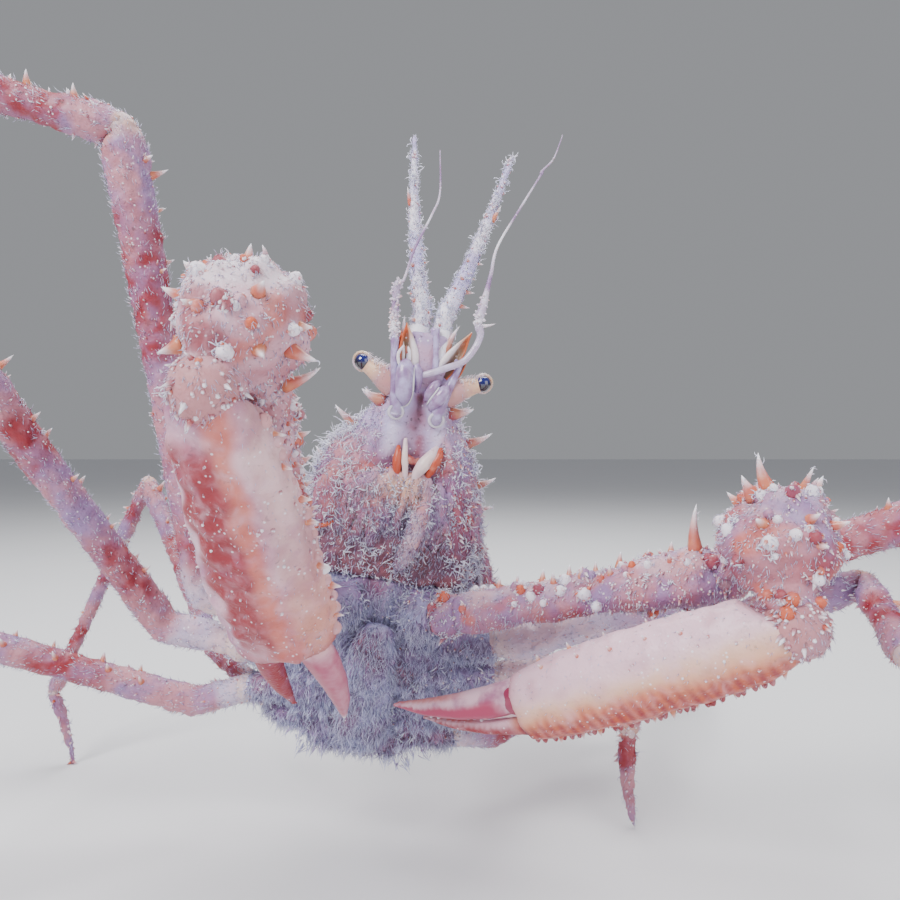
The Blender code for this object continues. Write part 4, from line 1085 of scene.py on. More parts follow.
    def edge(self, heap, side, wrist, along, across, length):
        """Teeth along the palm's lower edge, knobs beside it, and the fixed finger's pearly teeth."""
        points = heap.gather()[0]
        share = (points - wrist) @ along / length
        height = (points - wrist) @ across
        if side == "left":
            roots = self.rim(points, share, height, np.linspace(*EDGE_SPAN, EDGE_TEETH), 0.012)
            plant(heap, KNOB, roots + across * 0.35, -across + along * 0.15, 1.0, 0.5, rose=0.95,
                  orange=0.3)
            spots = np.linspace(*FINGER_TEETH_SPAN, FINGER_TEETH)
            teeth = self.rim(points, share, -height, spots, 0.012)
            plant(heap, KNOB, teeth - across * 0.2, across, 0.62, 0.36, pearl=0.9)
        else:
            roots = self.rim(points, share, -height, np.linspace(*BEAD_SPAN, BEADS), 0.015)
            size = np.random.RandomState(77).uniform(0.6, 1.0, len(roots))
            bead = np.arange(len(roots)) == WHITE_BEAD
            plant(heap, KNOB, roots - across * 0.5, across, size * 1.3 + bead * 0.4, size * 1.1,
                  pearl=np.where(bead, 1.0, 0.25), orange=np.where(bead, 0.0, 0.6))

    def rim(self, points, share, height, spots, reach):
        """The lowest point at each spot along a palm, or the highest where the height is turned."""
        slices = [np.flatnonzero(np.abs(share - spot) < reach) for spot in spots]
        return np.array([points[near[np.argmin(height[near])]] for near in slices])


# The head, for the crab's left and right as each is held; rows of x, y, distance down the body,
# half width and half thickness
BASAL_JOINTS = {
    "right": [(-3.4, -4.4, 13.2, 1.0), (-3.5, -5.2, 12.0, 1.25), (-3.9, -5.2, 10.2, 1.12),
              (-4.6, -4.7, 7.0, 0.86), (-5.3, -4.1, 3.8, 0.7), (-5.7, -3.6, 1.4, 0.66),
              (-6.0, -3.3, -0.4, 0.8), (-6.05, -3.2, -1.0, 0.5)],
    "left": [(3.5, -4.4, 13.4, 1.0), (3.7, -5.2, 12.2, 1.25), (4.0, -5.2, 10.4, 1.1),
             (4.6, -4.7, 8.0, 0.9), (5.3, -4.2, 5.4, 0.72), (5.9, -3.8, 3.2, 0.62),
             (6.3, -3.5, 1.8, 0.5)],
}
GLANDS = {"right": (-3.55, -6.05, 12.1), "left": (3.75, -6.05, 12.3)}
FEELERS = {
    "right": [(-6.0, -3.2, -0.2, 0.62), (-6.4, -2.6, -2.6, 0.72), (-6.9, -1.9, -5.5, 0.66),
              (-7.3, -1.6, -9.4, 0.6), (-6.9, -1.8, -10.2, 0.32), (-6.2, -2.0, -10.8, 0.24),
              (-5.3, -0.8, -16.3, 0.22), (-3.4, 0.4, -22.5, 0.2), (-2.7, 1.7, -26.4, 0.18),
              (-4.0, 3.4, -33.7, 0.08)],
    "left": [(8.0, -2.5, -5.3, 0.5), (8.2, -1.9, -7.0, 0.78), (8.4, -1.0, -9.2, 0.72),
             (8.6, -0.2, -11.4, 0.5), (8.8, 0.5, -14.6, 0.34), (9.1, 1.5, -19.5, 0.24),
             (11.9, 3.3, -26.8, 0.2), (14.3, 4.9, -32.7, 0.18), (14.6, 5.1, -33.6, 0.34),
             (14.9, 5.3, -34.4, 0.18), (16.3, 5.6, -36.6, 0.15), (17.3, 7.6, -41.2, 0.07)],
}
LEFT_ARM = [(-0.6, -4.6, 5.2, 0.5), (1.2, -5.0, 4.4, 0.62), (4.0, -4.7, 2.9, 0.62),
            (6.6, -3.9, 1.4, 0.6), (8.2, -3.2, -1.2, 0.58), (8.8, -2.7, -3.6, 0.62),
            (8.3, -2.5, -5.0, 0.78), (8.05, -2.45, -5.6, 0.5)]
FEELERLETS = {
    "right": [[(-3.3, -4.2, 3.0, 0.8, 0.6), (-3.2, -5.2, 4.2, 1.5, 1.1), (-3.0, -5.8, 6.4, 1.62, 1.35),
               (-2.7, -5.8, 8.8, 1.55, 1.3), (-2.4, -5.0, 10.6, 0.9, 0.7)],
              [(-1.5, -4.6, 3.4, 0.6), (-0.9, -5.0, 4.6, 0.8), (-0.6, -5.0, 6.4, 0.7),
               (-0.5, -4.6, 8.2, 0.4)]],
    "left": [[(4.9, -4.2, 6.2, 0.5), (4.3, -5.2, 7.0, 1.1), (3.5, -5.6, 8.4, 1.25),
              (2.8, -5.3, 9.8, 1.0), (2.4, -4.6, 10.8, 0.5)],
             [(3.0, -4.4, 5.6, 0.5), (2.3, -5.2, 6.6, 0.85), (1.7, -5.3, 8.0, 0.85),
              (1.2, -4.7, 9.4, 0.4)]],
}
# White bars along the feelerlets' edges: painted highlights on their glassy rims
FEELERLET_HIGHLIGHTS = {
    "right": [(-1.75, -5.3, 3.9, 0.14), (-1.45, -6.2, 6.0, 0.2), (-1.25, -6.2, 8.4, 0.2),
              (-1.7, -5.8, 10.3, 0.2), (-2.7, -5.5, 11.0, 0.18), (-3.7, -5.6, 10.2, 0.14)],
    "left": [(3.2, -5.9, 6.4, 0.12), (2.6, -6.2, 7.6, 0.16), (2.0, -6.0, 8.8, 0.16),
             (1.6, -5.4, 9.9, 0.12)],
}
# The spines over the feelers: root, tip and width
BROWS = {
    "right": [((-2.7, -3.9, 4.0), (-4.4, -3.3, -3.5), 1.9),
              ((-4.5, -3.9, 3.9), (-5.0, -3.1, -2.0), 0.9)],
    "left": [((3.4, -4.0, 4.2), (7.2, -3.2, -3.9), 1.75), ((5.6, -3.9, 4.4), (7.6, -3.2, -0.6), 0.8)],
}
BROW_SHAPE = np.array([(-0.05, 0.75), (0.15, 1.0), (0.35, 0.95), (0.6, 0.66), (0.82, 0.32),
                       (1.0, 0.04)])
KEEL = [(0.7, -2.4, -3.2, 0.9, 0.8), (1.2, -3.3, -1.4, 0.6, 0.6), (1.6, -3.9, 1.0, 0.5, 0.5),
        (2.0, -4.2, 3.6, 0.6, 0.5), (2.1, -4.0, 4.6, 0.4, 0.3)]
# The pale flap beside the right brow spine
FLAP = [(-4.2, -4.1, 0.5, 0.2), (-4.9, -4.6, 2.0, 0.3), (-4.4, -5.0, 3.7, 0.32),
        (-3.1, -5.0, 4.6, 0.24)]
HORN_FOOT = [(2.1, 0.5, -3.6, 1.6), (2.1, 0.2, -2.4, 1.95), (2.2, -0.9, -0.6, 1.95),
             (2.5, -2.2, 1.4, 1.5), (2.8, -3.0, 3.4, 0.8)]
STALK = [(4.6, -2.6, 8.0, 2.5, 2.2), (6.4, -2.7, 7.0, 2.3, 1.9), (8.2, -2.5, 6.1, 1.8, 1.6),
         (9.6, -2.2, 5.5, 1.45, 1.35), (10.4, -2.0, 5.1, 1.4, 1.3), (10.9, -1.9, 4.9, 1.2, 1.1)]
EYE = (10.95, -2.1, 4.85)
EYE_RADIUS = 1.5
# The rings that hold the eye: how far out and behind, size against the eye, thickness and colour
EYE_RINGS = [(0.12, 0.15, 1.1, 0.3, 0.35), (0.05, 0.65, 1.0, 0.42, 0.7)]
PRONGS = [
    ("pearl", [(-1.0, -5.2, 16.6, 0.3), (-0.8, -6.2, 18.2, 0.5), (-0.4, -6.9, 20.6, 0.6),
               (0.1, -7.1, 23.0, 0.5), (0.4, -7.3, 26.0, 0.3)]),
    ("orange", [(-2.0, -5.6, 18.0, 0.3), (-1.9, -6.5, 19.6, 0.7), (-1.7, -6.9, 21.6, 0.8),
                (-1.3, -6.8, 23.8, 0.4)]),
    ("rose", [(-0.2, -6.1, 19.4, 0.4, 0.3), (0.5, -6.6, 20.0, 0.7, 0.5), (1.3, -6.6, 20.3, 0.6, 0.5),
              (2.1, -6.2, 19.8, 0.4, 0.3)]),
    ("pearl", [(5.0, -5.3, 17.2, 0.5), (4.1, -6.3, 18.6, 1.0), (3.0, -6.9, 20.4, 1.25),
               (2.1, -7.1, 22.2, 0.95), (1.6, -7.2, 24.2, 0.4)]),
    ("orange", [(5.6, -5.7, 17.2, 0.4), (5.3, -6.5, 18.9, 0.85), (4.6, -6.9, 20.8, 0.85),
                (4.0, -6.9, 22.6, 0.45)]),
]
PRONG_LOOKS = {"pearl": dict(pearl=0.5, rose=0.08), "orange": dict(orange=1.0, rose=0.45),
               "rose": dict(rose=0.9)}
# A mouthpart column's width along its length
COLUMN_SHAPE = [(0.0, 0.6), (0.15, 1.0), (0.4, 1.0), (0.7, 0.95), (0.9, 0.7), (1.0, 0.35)]
# The mouthparts' columns: x at the top and below, distance down at both ends, width and height
MOUTH_COLUMNS = {
    "right": [(-0.9, -1.9, 22.6, 33.0, 1.1, 0.7), (-2.6, -4.6, 22.2, 37.0, 1.5, 0.9),
              (-4.7, -7.0, 22.6, 36.5, 1.2, 0.9), (-6.6, -9.0, 23.4, 36.5, 1.2, 0.8),
              (-8.6, -10.9, 24.6, 37.5, 1.1, 0.7)],
    "left": [(0.7, 0.1, 22.6, 33.5, 1.0, 0.7), (2.4, 2.2, 22.2, 30.0, 1.3, 0.8),
             (4.3, 5.9, 22.4, 36.0, 1.2, 0.8), (6.3, 8.0, 23.4, 37.0, 1.1, 0.8),
             (8.3, 9.7, 24.8, 37.5, 1.0, 0.6), (4.9, 1.9, 27.0, 40.0, 1.7, 1.7)],
}
FLANK = [(-12.4, -6.0, 24.4, 1.2, 0.5), (-12.8, -6.8, 26.4, 2.0, 0.8), (-13.2, -7.4, 29.6, 2.4, 0.9),
         (-13.4, -7.7, 32.6, 2.3, 0.8), (-13.4, -7.5, 34.6, 1.8, 0.5)]
FLANK_EDGE = [(-16.0, -7.0, 34.6, 0.3), (-14.6, -8.2, 34.8, 0.42), (-12.6, -8.4, 34.2, 0.42),
              (-11.0, -7.8, 33.4, 0.3)]


def mirror(rows, side):
    return [(row[0] * SIDES[side], *row[1:]) for row in rows]


def body_bar(heap, rows, hint=(1.0, 0.0, 0.0), sides=12, steps=5, **values):
    """A bar of the head, given in the body's frame and set in standing space."""
    rows = [(row[0], row[1], -row[2], *row[3:]) for row in rows]
    points, triangles, along = bar(rows, hint, sides, steps)
    marks = {mark: value(along) if callable(value) else value for mark, value in values.items()}
    heap.add(stood_up(points), triangles, **marks)


def ring(heap, centre, normal, radius, thickness, squash=1.0, opening=0.0, **values):
    """A round or open ring lying square to a way of the body's frame."""
    normal = Vector((normal[0], normal[1], -normal[2])).normalized()
    first = normal.cross(Vector((1.0, 0.0, 0.0))).normalized()
    second = normal.cross(first)
    middle = Vector((centre[0], centre[1], -centre[2]))
    rows = []
    for turn in np.linspace(opening, 2.0 * math.pi - opening, 17):
        place = middle + first * math.cos(turn) * radius * squash + second * math.sin(turn) * radius
        rows.append((*place, thickness))
    points, triangles, _ = bar(rows, normal, 8, 2)
    heap.add(stood_up(points), triangles, **values)


def brow(heap, root, tip, width, inner):
    """A leaf-shaped spine over the feelers, hollow in front, between a pale edge and an orange one,
    with painted shade in the hollow.
    """
    root, tip = np.array(root) * FLIP, np.array(tip) * FLIP
    rows = [(*(root + (tip - root) * share), width * size, width * size * 0.42 + 0.1)
            for share, size in BROW_SHAPE]
    points, triangles, _ = bar(rows, (1.0, 0.0, 0.0), 28, 6)
    run = tip - root
    share = (points - root) @ run / (run @ run)
    centre = root + share[:, None] * run
    half = np.interp(share, BROW_SHAPE[:, 0], BROW_SHAPE[:, 1]) * width
    across = (points[:, 0] - centre[:, 0]) / half * inner
    ahead = step(-0.1, 0.25, centre[:, 1] - points[:, 1])
    hollow = peak(across + 0.1, 0.5) * ahead * fall(0.6, 0.95, share)
    points[:, 1] += hollow * width * 0.75
    rim = step(0.12, 0.42, across)
    end = step(0.5, 0.85, share)
    outer = fall(-0.8, -0.5, across)
    heap.add(stood_up(points), triangles,
             pearl=rim * (1.0 - end) * 0.75, cream=rim * 0.6,
             orange=np.maximum(outer * 0.9, end * (0.55 + 0.3 * (1.0 - rim))),
             # Painted shade: wine in the front hollow, deepest near the spine's root
             wine=hollow * 0.45 * (1.0 - share))


class CRAB_OT_horns(CrabOperator, bpy.types.Operator):
    """Grow the horns with their side prongs and their broad feet"""
    bl_idname = "crab.horns"
    bl_label = "Horns"

    def execute(self, context):
        material = shell_material("horn", "white", "pale", roughness=(0.4, 0.6), grain=0.3, dirty=0.25)
        for side in SIDES:
            node = "horn_" + side
            points, triangles, normals = grow(node, HORN_VOXEL, "horn")
            back = in_body(points)[:, 2]
            points = points + normals * (patches(points, 1.3, 20) * 0.14)[:, None]
            heap = Heap()
            heap.add(points, triangles, pearl=step(-10.0, -2.0, back) * 0.8,
                     rose=step(0.35, 0.9, patches(points, 3.0, 21)) * 0.12)
            SKINS[node] = heap.gather()
            body_bar(heap, mirror(HORN_FOOT, side), sides=18, pearl=0.85)
            dress(heap.piece("front_horn_" + side), material, "horn", node)
        return {"FINISHED"}


class CRAB_OT_eyes(CrabOperator, bpy.types.Operator):
    """Model the eyes on their stalks"""
    bl_idname = "crab.eyes"
    bl_label = "Eyes"

    def execute(self, context):
        stalk_look = shell_material("stalk", "lilac", "blush", roughness=(0.3, 0.45), grain=0.2)
        looks = eye_material(), glass_material("eye_rim", "cream", 0.4)
        for side in SIDES:
            heap = Heap()
            body_bar(heap, mirror(STALK, side), (0.0, 0.0, 1.0), 18, 6,
                     orange=lambda along: 0.5 * band((0.3, 0.6), (0.7, 1.0), along),
                     cream=lambda along: 0.35 + 0.65 * step(0.25, 0.5, along),
                     pearl=lambda along: step(0.85, 1.0, along) * 0.4)
            low = [(row[0], row[1] - 0.2, row[2] + row[3] * 0.92, 0.26) for row in mirror(STALK, side)]
            body_bar(heap, low, sides=8, orange=0.85, wine=0.25)
            SKINS["eyestalk_" + side] = heap.gather()
            roots, ways, _ = scatter(SKINS["eyestalk_" + side], 110, 33,
                                     lambda middles, outward: (outward @ UPWARD > 0.35)
                                     & (np.abs(in_body(middles)[:, 0]) > 6.0))
            plant(heap, HAIR, roots, ways + UPWARD * 0.4, np.linspace(0.5, 1.4, len(roots)), 0.07,
                  curl=1.2, pearl=0.8)
            dress(heap.piece("stalk_" + side), stalk_look, "eye", "eyestalk_" + side)
            self.eye(side, *looks)
        return {"FINISHED"}

    def eye(self, side, ball_look, rim_look):
        """The eye's ball, and the two rings that hold it."""
        centre = np.array(mirror([EYE], side)[0])
        mesh = bmesh.new()
        bmesh.ops.create_uvsphere(mesh, u_segments=40, v_segments=24, radius=EYE_RADIUS)
        points, triangles, _ = arrays(mesh)
        # Painted light: the ball is lighter on its upper, outer side, which faces the light
        toward_light = points @ np.array((SIDES[side] * -0.1, -0.4, 0.9)) / EYE_RADIUS
        ball = Heap()
        ball.add(stood_up(points + centre * FLIP), triangles, tip=step(-0.3, 1.0, toward_light))
        dress(ball.piece("eye_" + side), ball_look, "eye", "cornea_" + side)
        rim = Heap()
        lean = (SIDES[side] * 0.35, -1.0, 0.1)
        for shift, behind, size, thick, cream in EYE_RINGS:
            place = centre + np.array((SIDES[side] * shift, behind, 0.0))
            ring(rim, place, lean, EYE_RADIUS * size, thick, cream=cream)
        dress(rim.piece("eye_rim_" + side), rim_look, "eye")


class CRAB_OT_feelers(CrabOperator, bpy.types.Operator):
    """Model the feelers, their fixed joints and the folded feelerlets"""
    bl_idname = "crab.feelers"
    bl_label = "Feelers"

    def execute(self, context):
        glass = glass_material("feeler_joint", "lilac", 0.25)
        whip = shell_material("feeler", "white", "lilac", roughness=(0.35, 0.5), grain=0.25)
        for side in SIDES:
            heap = Heap()
            body_bar(heap, BASAL_JOINTS[side], sides=18)
            if side == "left":
                body_bar(heap, LEFT_ARM, sides=16, pearl=0.4)
            centre = GLANDS[side]
            lean = (0.1, -1.0, 0.12)
            # The gland's two rings are painted white: painted highlights on its raised rim
            ring(heap, centre, lean, 0.58, 0.12, 0.7, pearl=1.0)
            ring(heap, (centre[0], centre[1] + 0.25, centre[2]), lean, 1.2, 0.34, 1.0, 0.6, pearl=0.7)
            dress(heap.piece("feeler_base_" + side), glass, "feeler")
            heap = Heap()
            body_bar(heap, FEELERS[side], sides=10, steps=7)
            SKINS["antenna_" + side] = heap.gather()
            self.knobs(heap, side)
            dress(heap.piece("feeler_" + side), whip, "feeler", "antenna_" + side)
            heap = Heap()
            for rows in FEELERLETS[side]:
                body_bar(heap, rows, sides=20, steps=7, wine=lambda along: 0.25 * step(0.6, 1.0, along),
                         rose=0.12 if side == "left" else 0.0)
            # White bars along the feelerlets' edges: painted highlights
            body_bar(heap, FEELERLET_HIGHLIGHTS[side], sides=8, pearl=1.0)
            dress(heap.piece("feelerlet_" + side), glass_material("feelerlet_" + side, "lilac", 0.22),
                  "feeler", "antennule_" + side)
        heap = Heap()
        body_bar(heap, KEEL, sides=14)
        dress(heap.piece("keel"), glass, "shell")
        heap = Heap()
        for side in SIDES:
            for root, tip, width in BROWS[side]:
                brow(heap, root, tip, width, -SIDES[side])
        body_bar(heap, FLAP, sides=10, pearl=0.8, orange=0.2)
        # Painted shade: the brow spines' olive ground stands for the shading of their cream hollows
        dress(heap.piece("brow_spines"), shell_material("brow", "olive", "olive", roughness=(0.3, 0.45),
                                                        grain=0.15, dirty=0.2), "shell")
        return {"FINISHED"}

    def knobs(self, heap, side):
        """Whitish nodules on the thick lower part, and the joint spine of the left feeler."""
        skin = SKINS["antenna_" + side]
        roots, ways, _ = scatter(skin, 150 if side == "right" else 40, 31,
                                 lambda middles, _: in_body(middles)[:, 2] > -10.5)
        draw = np.random.RandomState(32)
        plant(heap, KNOB, roots - ways * 0.12, ways, draw.uniform(0.3, 0.8, len(roots)),
              draw.uniform(0.16, 0.32, len(roots)), pearl=0.5, orange=draw.rand(len(roots)) ** 3)
        if side == "left":
            root = on_body([(8.3, -2.5, -5.2)])
            tip = on_body([(11.2, -2.4, -6.2)])
            plant_curved(heap, SPINE, root, tip, 0.42, np.array((0.0, 0.0, 1.0)), [0.4], pearl=0.7,
                         orange=0.4)
            spokes = on_body([(8.1 + math.cos(turn), -2.5 + math.sin(turn), -5.6)
                              for turn in np.linspace(0, 6.0, 12)])
            centre = on_body([(8.1, -2.5, -4.4)])
            plant(heap, HAIR, spokes * 0.4 + centre * 0.6, spokes - centre, 1.1, 0.09, pearl=0.6)


class CRAB_OT_mouth(CrabOperator, bpy.types.Operator):
    """Model the mouthparts, the prongs above them and the plate beside them"""
    bl_idname = "crab.mouth"
    bl_label = "Mouthparts"

    def execute(self, context):
        material = shell_material("mouthpart", "lilac", "blush", dirty=0.75)
        for side in SIDES:
            self.columns(side, material)
        heap = Heap()
        for mark, rows in PRONGS:
            body_bar(heap, rows, sides=14, steps=6, **PRONG_LOOKS[mark])
        prong = shell_material("prong", "cream", "blush", roughness=(0.3, 0.45), grain=0.2, dirty=0.3)
        dress(self.softened(heap, 0.1).piece("mouth_prongs"), prong, "mouthpart")
        heap = Heap()
        body_bar(heap, FLANK, sides=22, steps=6, orange=0.35, wine=0.3)
        body_bar(heap, FLANK_EDGE, sides=10, orange=1.0)
        heap = self.softened(heap, 0.2)
        SKINS["flank"] = heap.gather()
        dress(heap.piece("flank_plate"), material, "shell")
        return {"FINISHED"}

    def softened(self, heap, depth):
        """The same forms with an uneven surface."""
        points, triangles, values = heap.gather()
        rough = Heap()
        middle = points.mean(axis=0)
        shift = unit(points - middle) * (patches(points, 1.2, 40) * depth)[:, None]
        rough.add(points + shift, triangles, **values)
        return rough

    def columns(self, side, material):
        """The mouthparts of one side, grown into each other as one low, uneven mass."""
        mesh = bmesh.new()
        for low, (x, lower, top, bottom, wide, tall) in enumerate(MOUTH_COLUMNS[side]):
            rows = []
            for share, size in COLUMN_SHAPE:
                back = top + (bottom - top) * share
                place = x + (lower - x) * share + 0.35 * math.sin(share * 7.0 + low * 2.0)
                depth = -6.1 - 2.2 * math.sin(min(1.0, (back - 21.0) / 9.0) * 1.57) + 0.011 * place ** 2
                depth = depth - (tall - 0.8)
                rows.append((place, depth, -back, wide * size, tall * size))
            points, triangles, _ = bar(rows, (1.0, 0.0, 0.0), 12, 3)
            corners = [mesh.verts.new(point) for point in stood_up(points)]
            for triangle in triangles:
                mesh.faces.new([corners[index] for index in triangle])
        points, triangles, normals = smooth_skin(mesh, MOUTH_VOXEL, "mouth")
        ripple = patches(points * (1.0, 1.0, 0.45), 1.0, 41) * 0.16 + patches(points, 0.6, 42) * 0.08
        points = points + normals * ripple[:, None]
        x, _, back = in_body(points).T
        tongue = peak(x - 3.4, 2.0) * step(27.5, 29.5, back) if side == "left" else 0.0
        middle = peak(x, 4.6)
        cloud = patches(points, 3.0, 43)
        heap = Heap()
        heap.add(points, triangles,
                 cream=middle * peak(back - 24.5, 3.6) * 0.75,
                 orange=step(0.2, 0.9, cloud) * 0.35, rose=step(0.3, 0.9, -cloud) * 0.25,
                 # Painted shade: wine deepens down the lower mouthparts and towards their middle
                 wine=step(29.0, 37.0, back) * (0.35 + 0.5 * middle) * (1.0 - tongue),
                 pearl=tongue * 0.3)
        SKINS["maxilliped_" + side] = heap.gather()
        dress(heap.piece("mouthpart_" + side), material, "mouthpart", "maxilliped_" + side)


# The way that long spines lean, and their whole turn when long or short
SPINE_LEAN = np.array((0.5, 0.0, 0.8))
SPINE_TURN = (0.5, 0.25)
LONG_SPINE = 4.0


class CRAB_OT_spines(CrabOperator, bpy.types.Operator):
    """Plant the spines where the solids have theirs"""
    bl_idname = "crab.spines"
    bl_label = "Spines"

    def execute(self, context):
        heap = Heap()
        for node, spines in SPINES.items():
            if not spines or node in ("thorax", "abdomen"):
                continue
            roots, tips, radii = (np.array(rows) for rows in zip(*spines))
            way = unit(tips - roots)
            long = lengths_of(tips - roots) > LONG_SPINE
            on_shell = node == "carapace"
            plant_curved(heap, SPINE, roots - way * 0.5, tips, radii * 1.1, SPINE_LEAN,
                         np.where(long, *SPINE_TURN), rose=0.6 if on_shell else 0.0,
                         orange=0.35 if on_shell else 0.7)
        dress(heap.piece("spines"), spine_material("spines", "cream", "white"), "shell")
        return {"FINISHED"}


# Small growths on each skin: grains and spinules for each square millimetre, and spinule length
GROWTHS = {
    "shell": (0.34, 0.06, 1.1), "breastplate": (0.1, 0.0, 0.7), "leg": (0.14, 0.055, 1.1),
    "claw_arm": (0.5, 0.11, 1.0), "claw_palm": (0.05, 0.0, 0.6), "mouth": (0.4, 0.0, 0.5),
    "flank": (0.3, 0.0, 0.5), "horn": (0.5, 0.0, 0.5),
}
# Bristles on each skin: number for each square millimetre, length, radius, how far they stand up
COATS = {
    "shell": (1.55, 1.15, 0.07, 0.9), "breastplate": (5.0, 2.4, 0.075, 0.4),
    "tail": (5.6, 2.3, 0.075, 0.4), "leg": (0.9, 1.1, 0.062, 1.2), "claw_arm": (1.45, 0.9, 0.06, 1.1),
    "claw_palm": (0.2, 0.6, 0.05, 1.2), "horn": (7.0, 0.7, 0.05, 1.1),
    "flank": (4.0, 1.2, 0.06, 0.6), "mouth": (5.5, 1.9, 0.065, 0.42),
}
# Tangles of curled bristles on each skin: how many, and their size
TANGLES = {
    "shell": (930, 1.75), "horn": (80, 1.3), "claw_arm": (55, 1.2), "leg": (26, 1.3),
    "claw_palm": (4, 0.7), "flank": (26, 1.3), "breastplate": (120, 1.8), "mouth": (70, 1.5),
}
# The longer tangles of the shoulder and of the shell's lower edge: how many, size and draw
SHOULDER_TANGLES = (110, 2.8, 499)
FRINGE_TANGLES = (120, 2.2, 498)
# Curls in each tangle, hairs in each lock below the body, and curls on each spine over a length
TANGLE_HAIRS = 7
TUFT_HAIRS = 14
SPINE_CURLS = 9
CURLED_SPINE = 3.0
# First draws of the bristles' places and sizes, and of the tangles, one more for each skin
BRISTLE_SEEDS = (200, 300)
TANGLE_SEED = 400
# Where the coat stays off: past this share of a palm, on parts that face this far backwards, and
# on the face, so far to each side and down the body, and behind the claws below this distance
PALM_COAT_END = 0.97
BELLY_BACK = 0.6
BARE_FACE = (5.6, 21.0)
HIDDEN_FROM = 44.0


def kind_of(key):
    """Which growths and coat a skin has."""
    for start, kind in (("leg_", "leg"), ("horn_", "horn"), ("maxilliped", "mouth")):
        if key.startswith(start):
            return kind
    if key.startswith("claw_"):
        return {"palm": "claw_palm", "finger": None}.get(key.rsplit("_", 1)[1], "claw_arm")
    return key if key in COATS else None


def area_of(skin):
    corners = skin[0][skin[1]]
    cross = np.cross(corners[:, 1] - corners[:, 0], corners[:, 2] - corners[:, 0])
    return lengths_of(cross).sum() / 2.0


def lie_at(key, picks, count):
    """The way a skin's growths lie at the picked corners."""
    if key in LIES:
        return LIES[key][picks]
    return np.broadcast_to(UPWARD if kind_of(key) == "horn" else -UPWARD, (count, 3))


def keep_clear(key, least=0.0):
    """Where a skin stays bare: the face between the feelers and the mouth, and the fingers."""
    if key.endswith("_palm"):
        wrist, knuckle_place, along, _ = palm_frame(key.split("_")[1])
        length = np.linalg.norm(knuckle_place - wrist)
        return lambda middles, ways: (middles - wrist) @ along < length * PALM_COAT_END
    if key in ("breastplate", "tail"):
        return lambda middles, ways: ways @ BACKWARD < BELLY_BACK
    if key != "shell":
        return None

    def rule(middles, ways):
        x, _, back = in_body(middles).T
        front = -ways @ BACKWARD
        face = (front > 0.3) & (np.abs(x) < BARE_FACE[0]) & (back < BARE_FACE[1])
        hidden = (front > 0.6) & (back > HIDDEN_FROM)
        return np.where(face | hidden | (back < least), 0.0, 1.0)
    return rule


class CRAB_OT_grains(CrabOperator, bpy.types.Operator):
    """Set grains and small spines over the shell and limbs"""
    bl_idname = "crab.grains"
    bl_label = "Grains"

    def execute(self, context):
        material = spine_material("grains", "blush", "white")
        heaps = {}
        for number, (key, skin) in enumerate(SKINS.items()):
            kind = kind_of(key)
            if kind not in GROWTHS:
                continue
            grains, spinules, length = GROWTHS[kind]
            heap = heaps.setdefault("shell" if kind in ("shell", "breastplate") else
                                    "legs" if kind == "leg" else "claws", Heap())
            for density, template, tall, wide, seed in (
                    (grains, GRANULE, 0.3, 0.28, 50), (spinules, SPINULE, length, 0.34, 90)):
                count = int(density * area_of(skin))
                if not count:
                    continue
                roots, ways, picks = scatter(skin, count, seed + number, keep_clear(key, 5.0))
                draw = np.random.RandomState(seed + number)
                size = draw.uniform(0.5, 1.3, count)
                lie = lie_at(key, picks, count)
                plant(heap, template, roots - ways * 0.12, ways + lie * 0.35, tall * size + 0.12,
                      wide * size, lie, 0.25, rose=skin[2]["rose"][picks] * 0.8,
                      orange=draw.uniform(0.0, 1.0, count) ** 4,
                      pearl=draw.uniform(0.0, 1.0, count) ** 3)
        for name, heap in heaps.items():
            dress(heap.piece("grains_" + name), material, "shell")
        return {"FINISHED"}


class CRAB_OT_bristles(CrabOperator, bpy.types.Operator):
    """Lay the bristles over every skin"""
    bl_idname = "crab.bristles"
    bl_label = "Bristles"

    def execute(self, context):
        looks = {"mouth": bristle_material("mouth_bristles", "lilac", "olive"),
                 "breastplate": bristle_material("belly_bristles", "belly", "lilac", "bristle")}
        looks["tail"] = looks["breastplate"]
        plain = bristle_material("bristles")
        for number, (key, skin) in enumerate(SKINS.items()):
            kind = kind_of(key)
            if kind not in COATS:
                continue
            density, length, radius, stand = COATS[kind]
            count = int(density * area_of(skin) * settings().density)
            places_seed, sizes_seed = BRISTLE_SEEDS
            roots, ways, picks = scatter(skin, count, places_seed + number, keep_clear(key, 4.0))
            draw = np.random.RandomState(sizes_seed + number)
            lie = lie_at(key, picks, count) + draw.normal(0.0, 0.45, (count, 3))
            size = draw.uniform(0.5, 1.35, count) * length / STANDARD_BRISTLE * settings().bristle
            uv = box_unwrap(skin, roots, ways)
            heap = Heap()
            plant(heap, BRISTLE, roots - ways * 0.05, ways * stand + lie * 0.7,
                  size, radius * draw.uniform(0.8, 1.3, count), lie, draw.uniform(0.1, 1.4, count),
                  uv=uv, rose=skin[2]["rose"][picks], orange=skin[2]["orange"][picks],
                  wine=skin[2]["wine"][picks])
            if key in ("breastplate", "tail"):
                self.tufts(heap, "thorax" if key == "breastplate" else "abdomen", skin)
            dress(heap.piece("bristles_" + key), looks.get(kind, plain), "shell")
        return {"FINISHED"}

    def tufts(self, heap, node, skin):
        """Pointed locks of long bristles where the solid has its own."""
        locks = SPINES[node]
        if not locks:
            return
        roots, tips, _ = (np.repeat(rows, TUFT_HAIRS, axis=0) for rows in zip(*locks))
        draw = np.random.RandomState(350)
        count = len(roots)
        run = tips - roots
        spread = draw.normal(0.0, 0.55, (count, 3))
        uv = box_unwrap(skin, roots, unit(run))
        plant(heap, HAIR, roots + spread - unit(run) * 0.4, run - spread * 0.8,
              lengths_of(run) * draw.uniform(0.6, 1.1, count), 0.1,
              draw.normal(0.0, 1.0, (count, 3)), draw.uniform(0.1, 0.7, count), uv=uv)


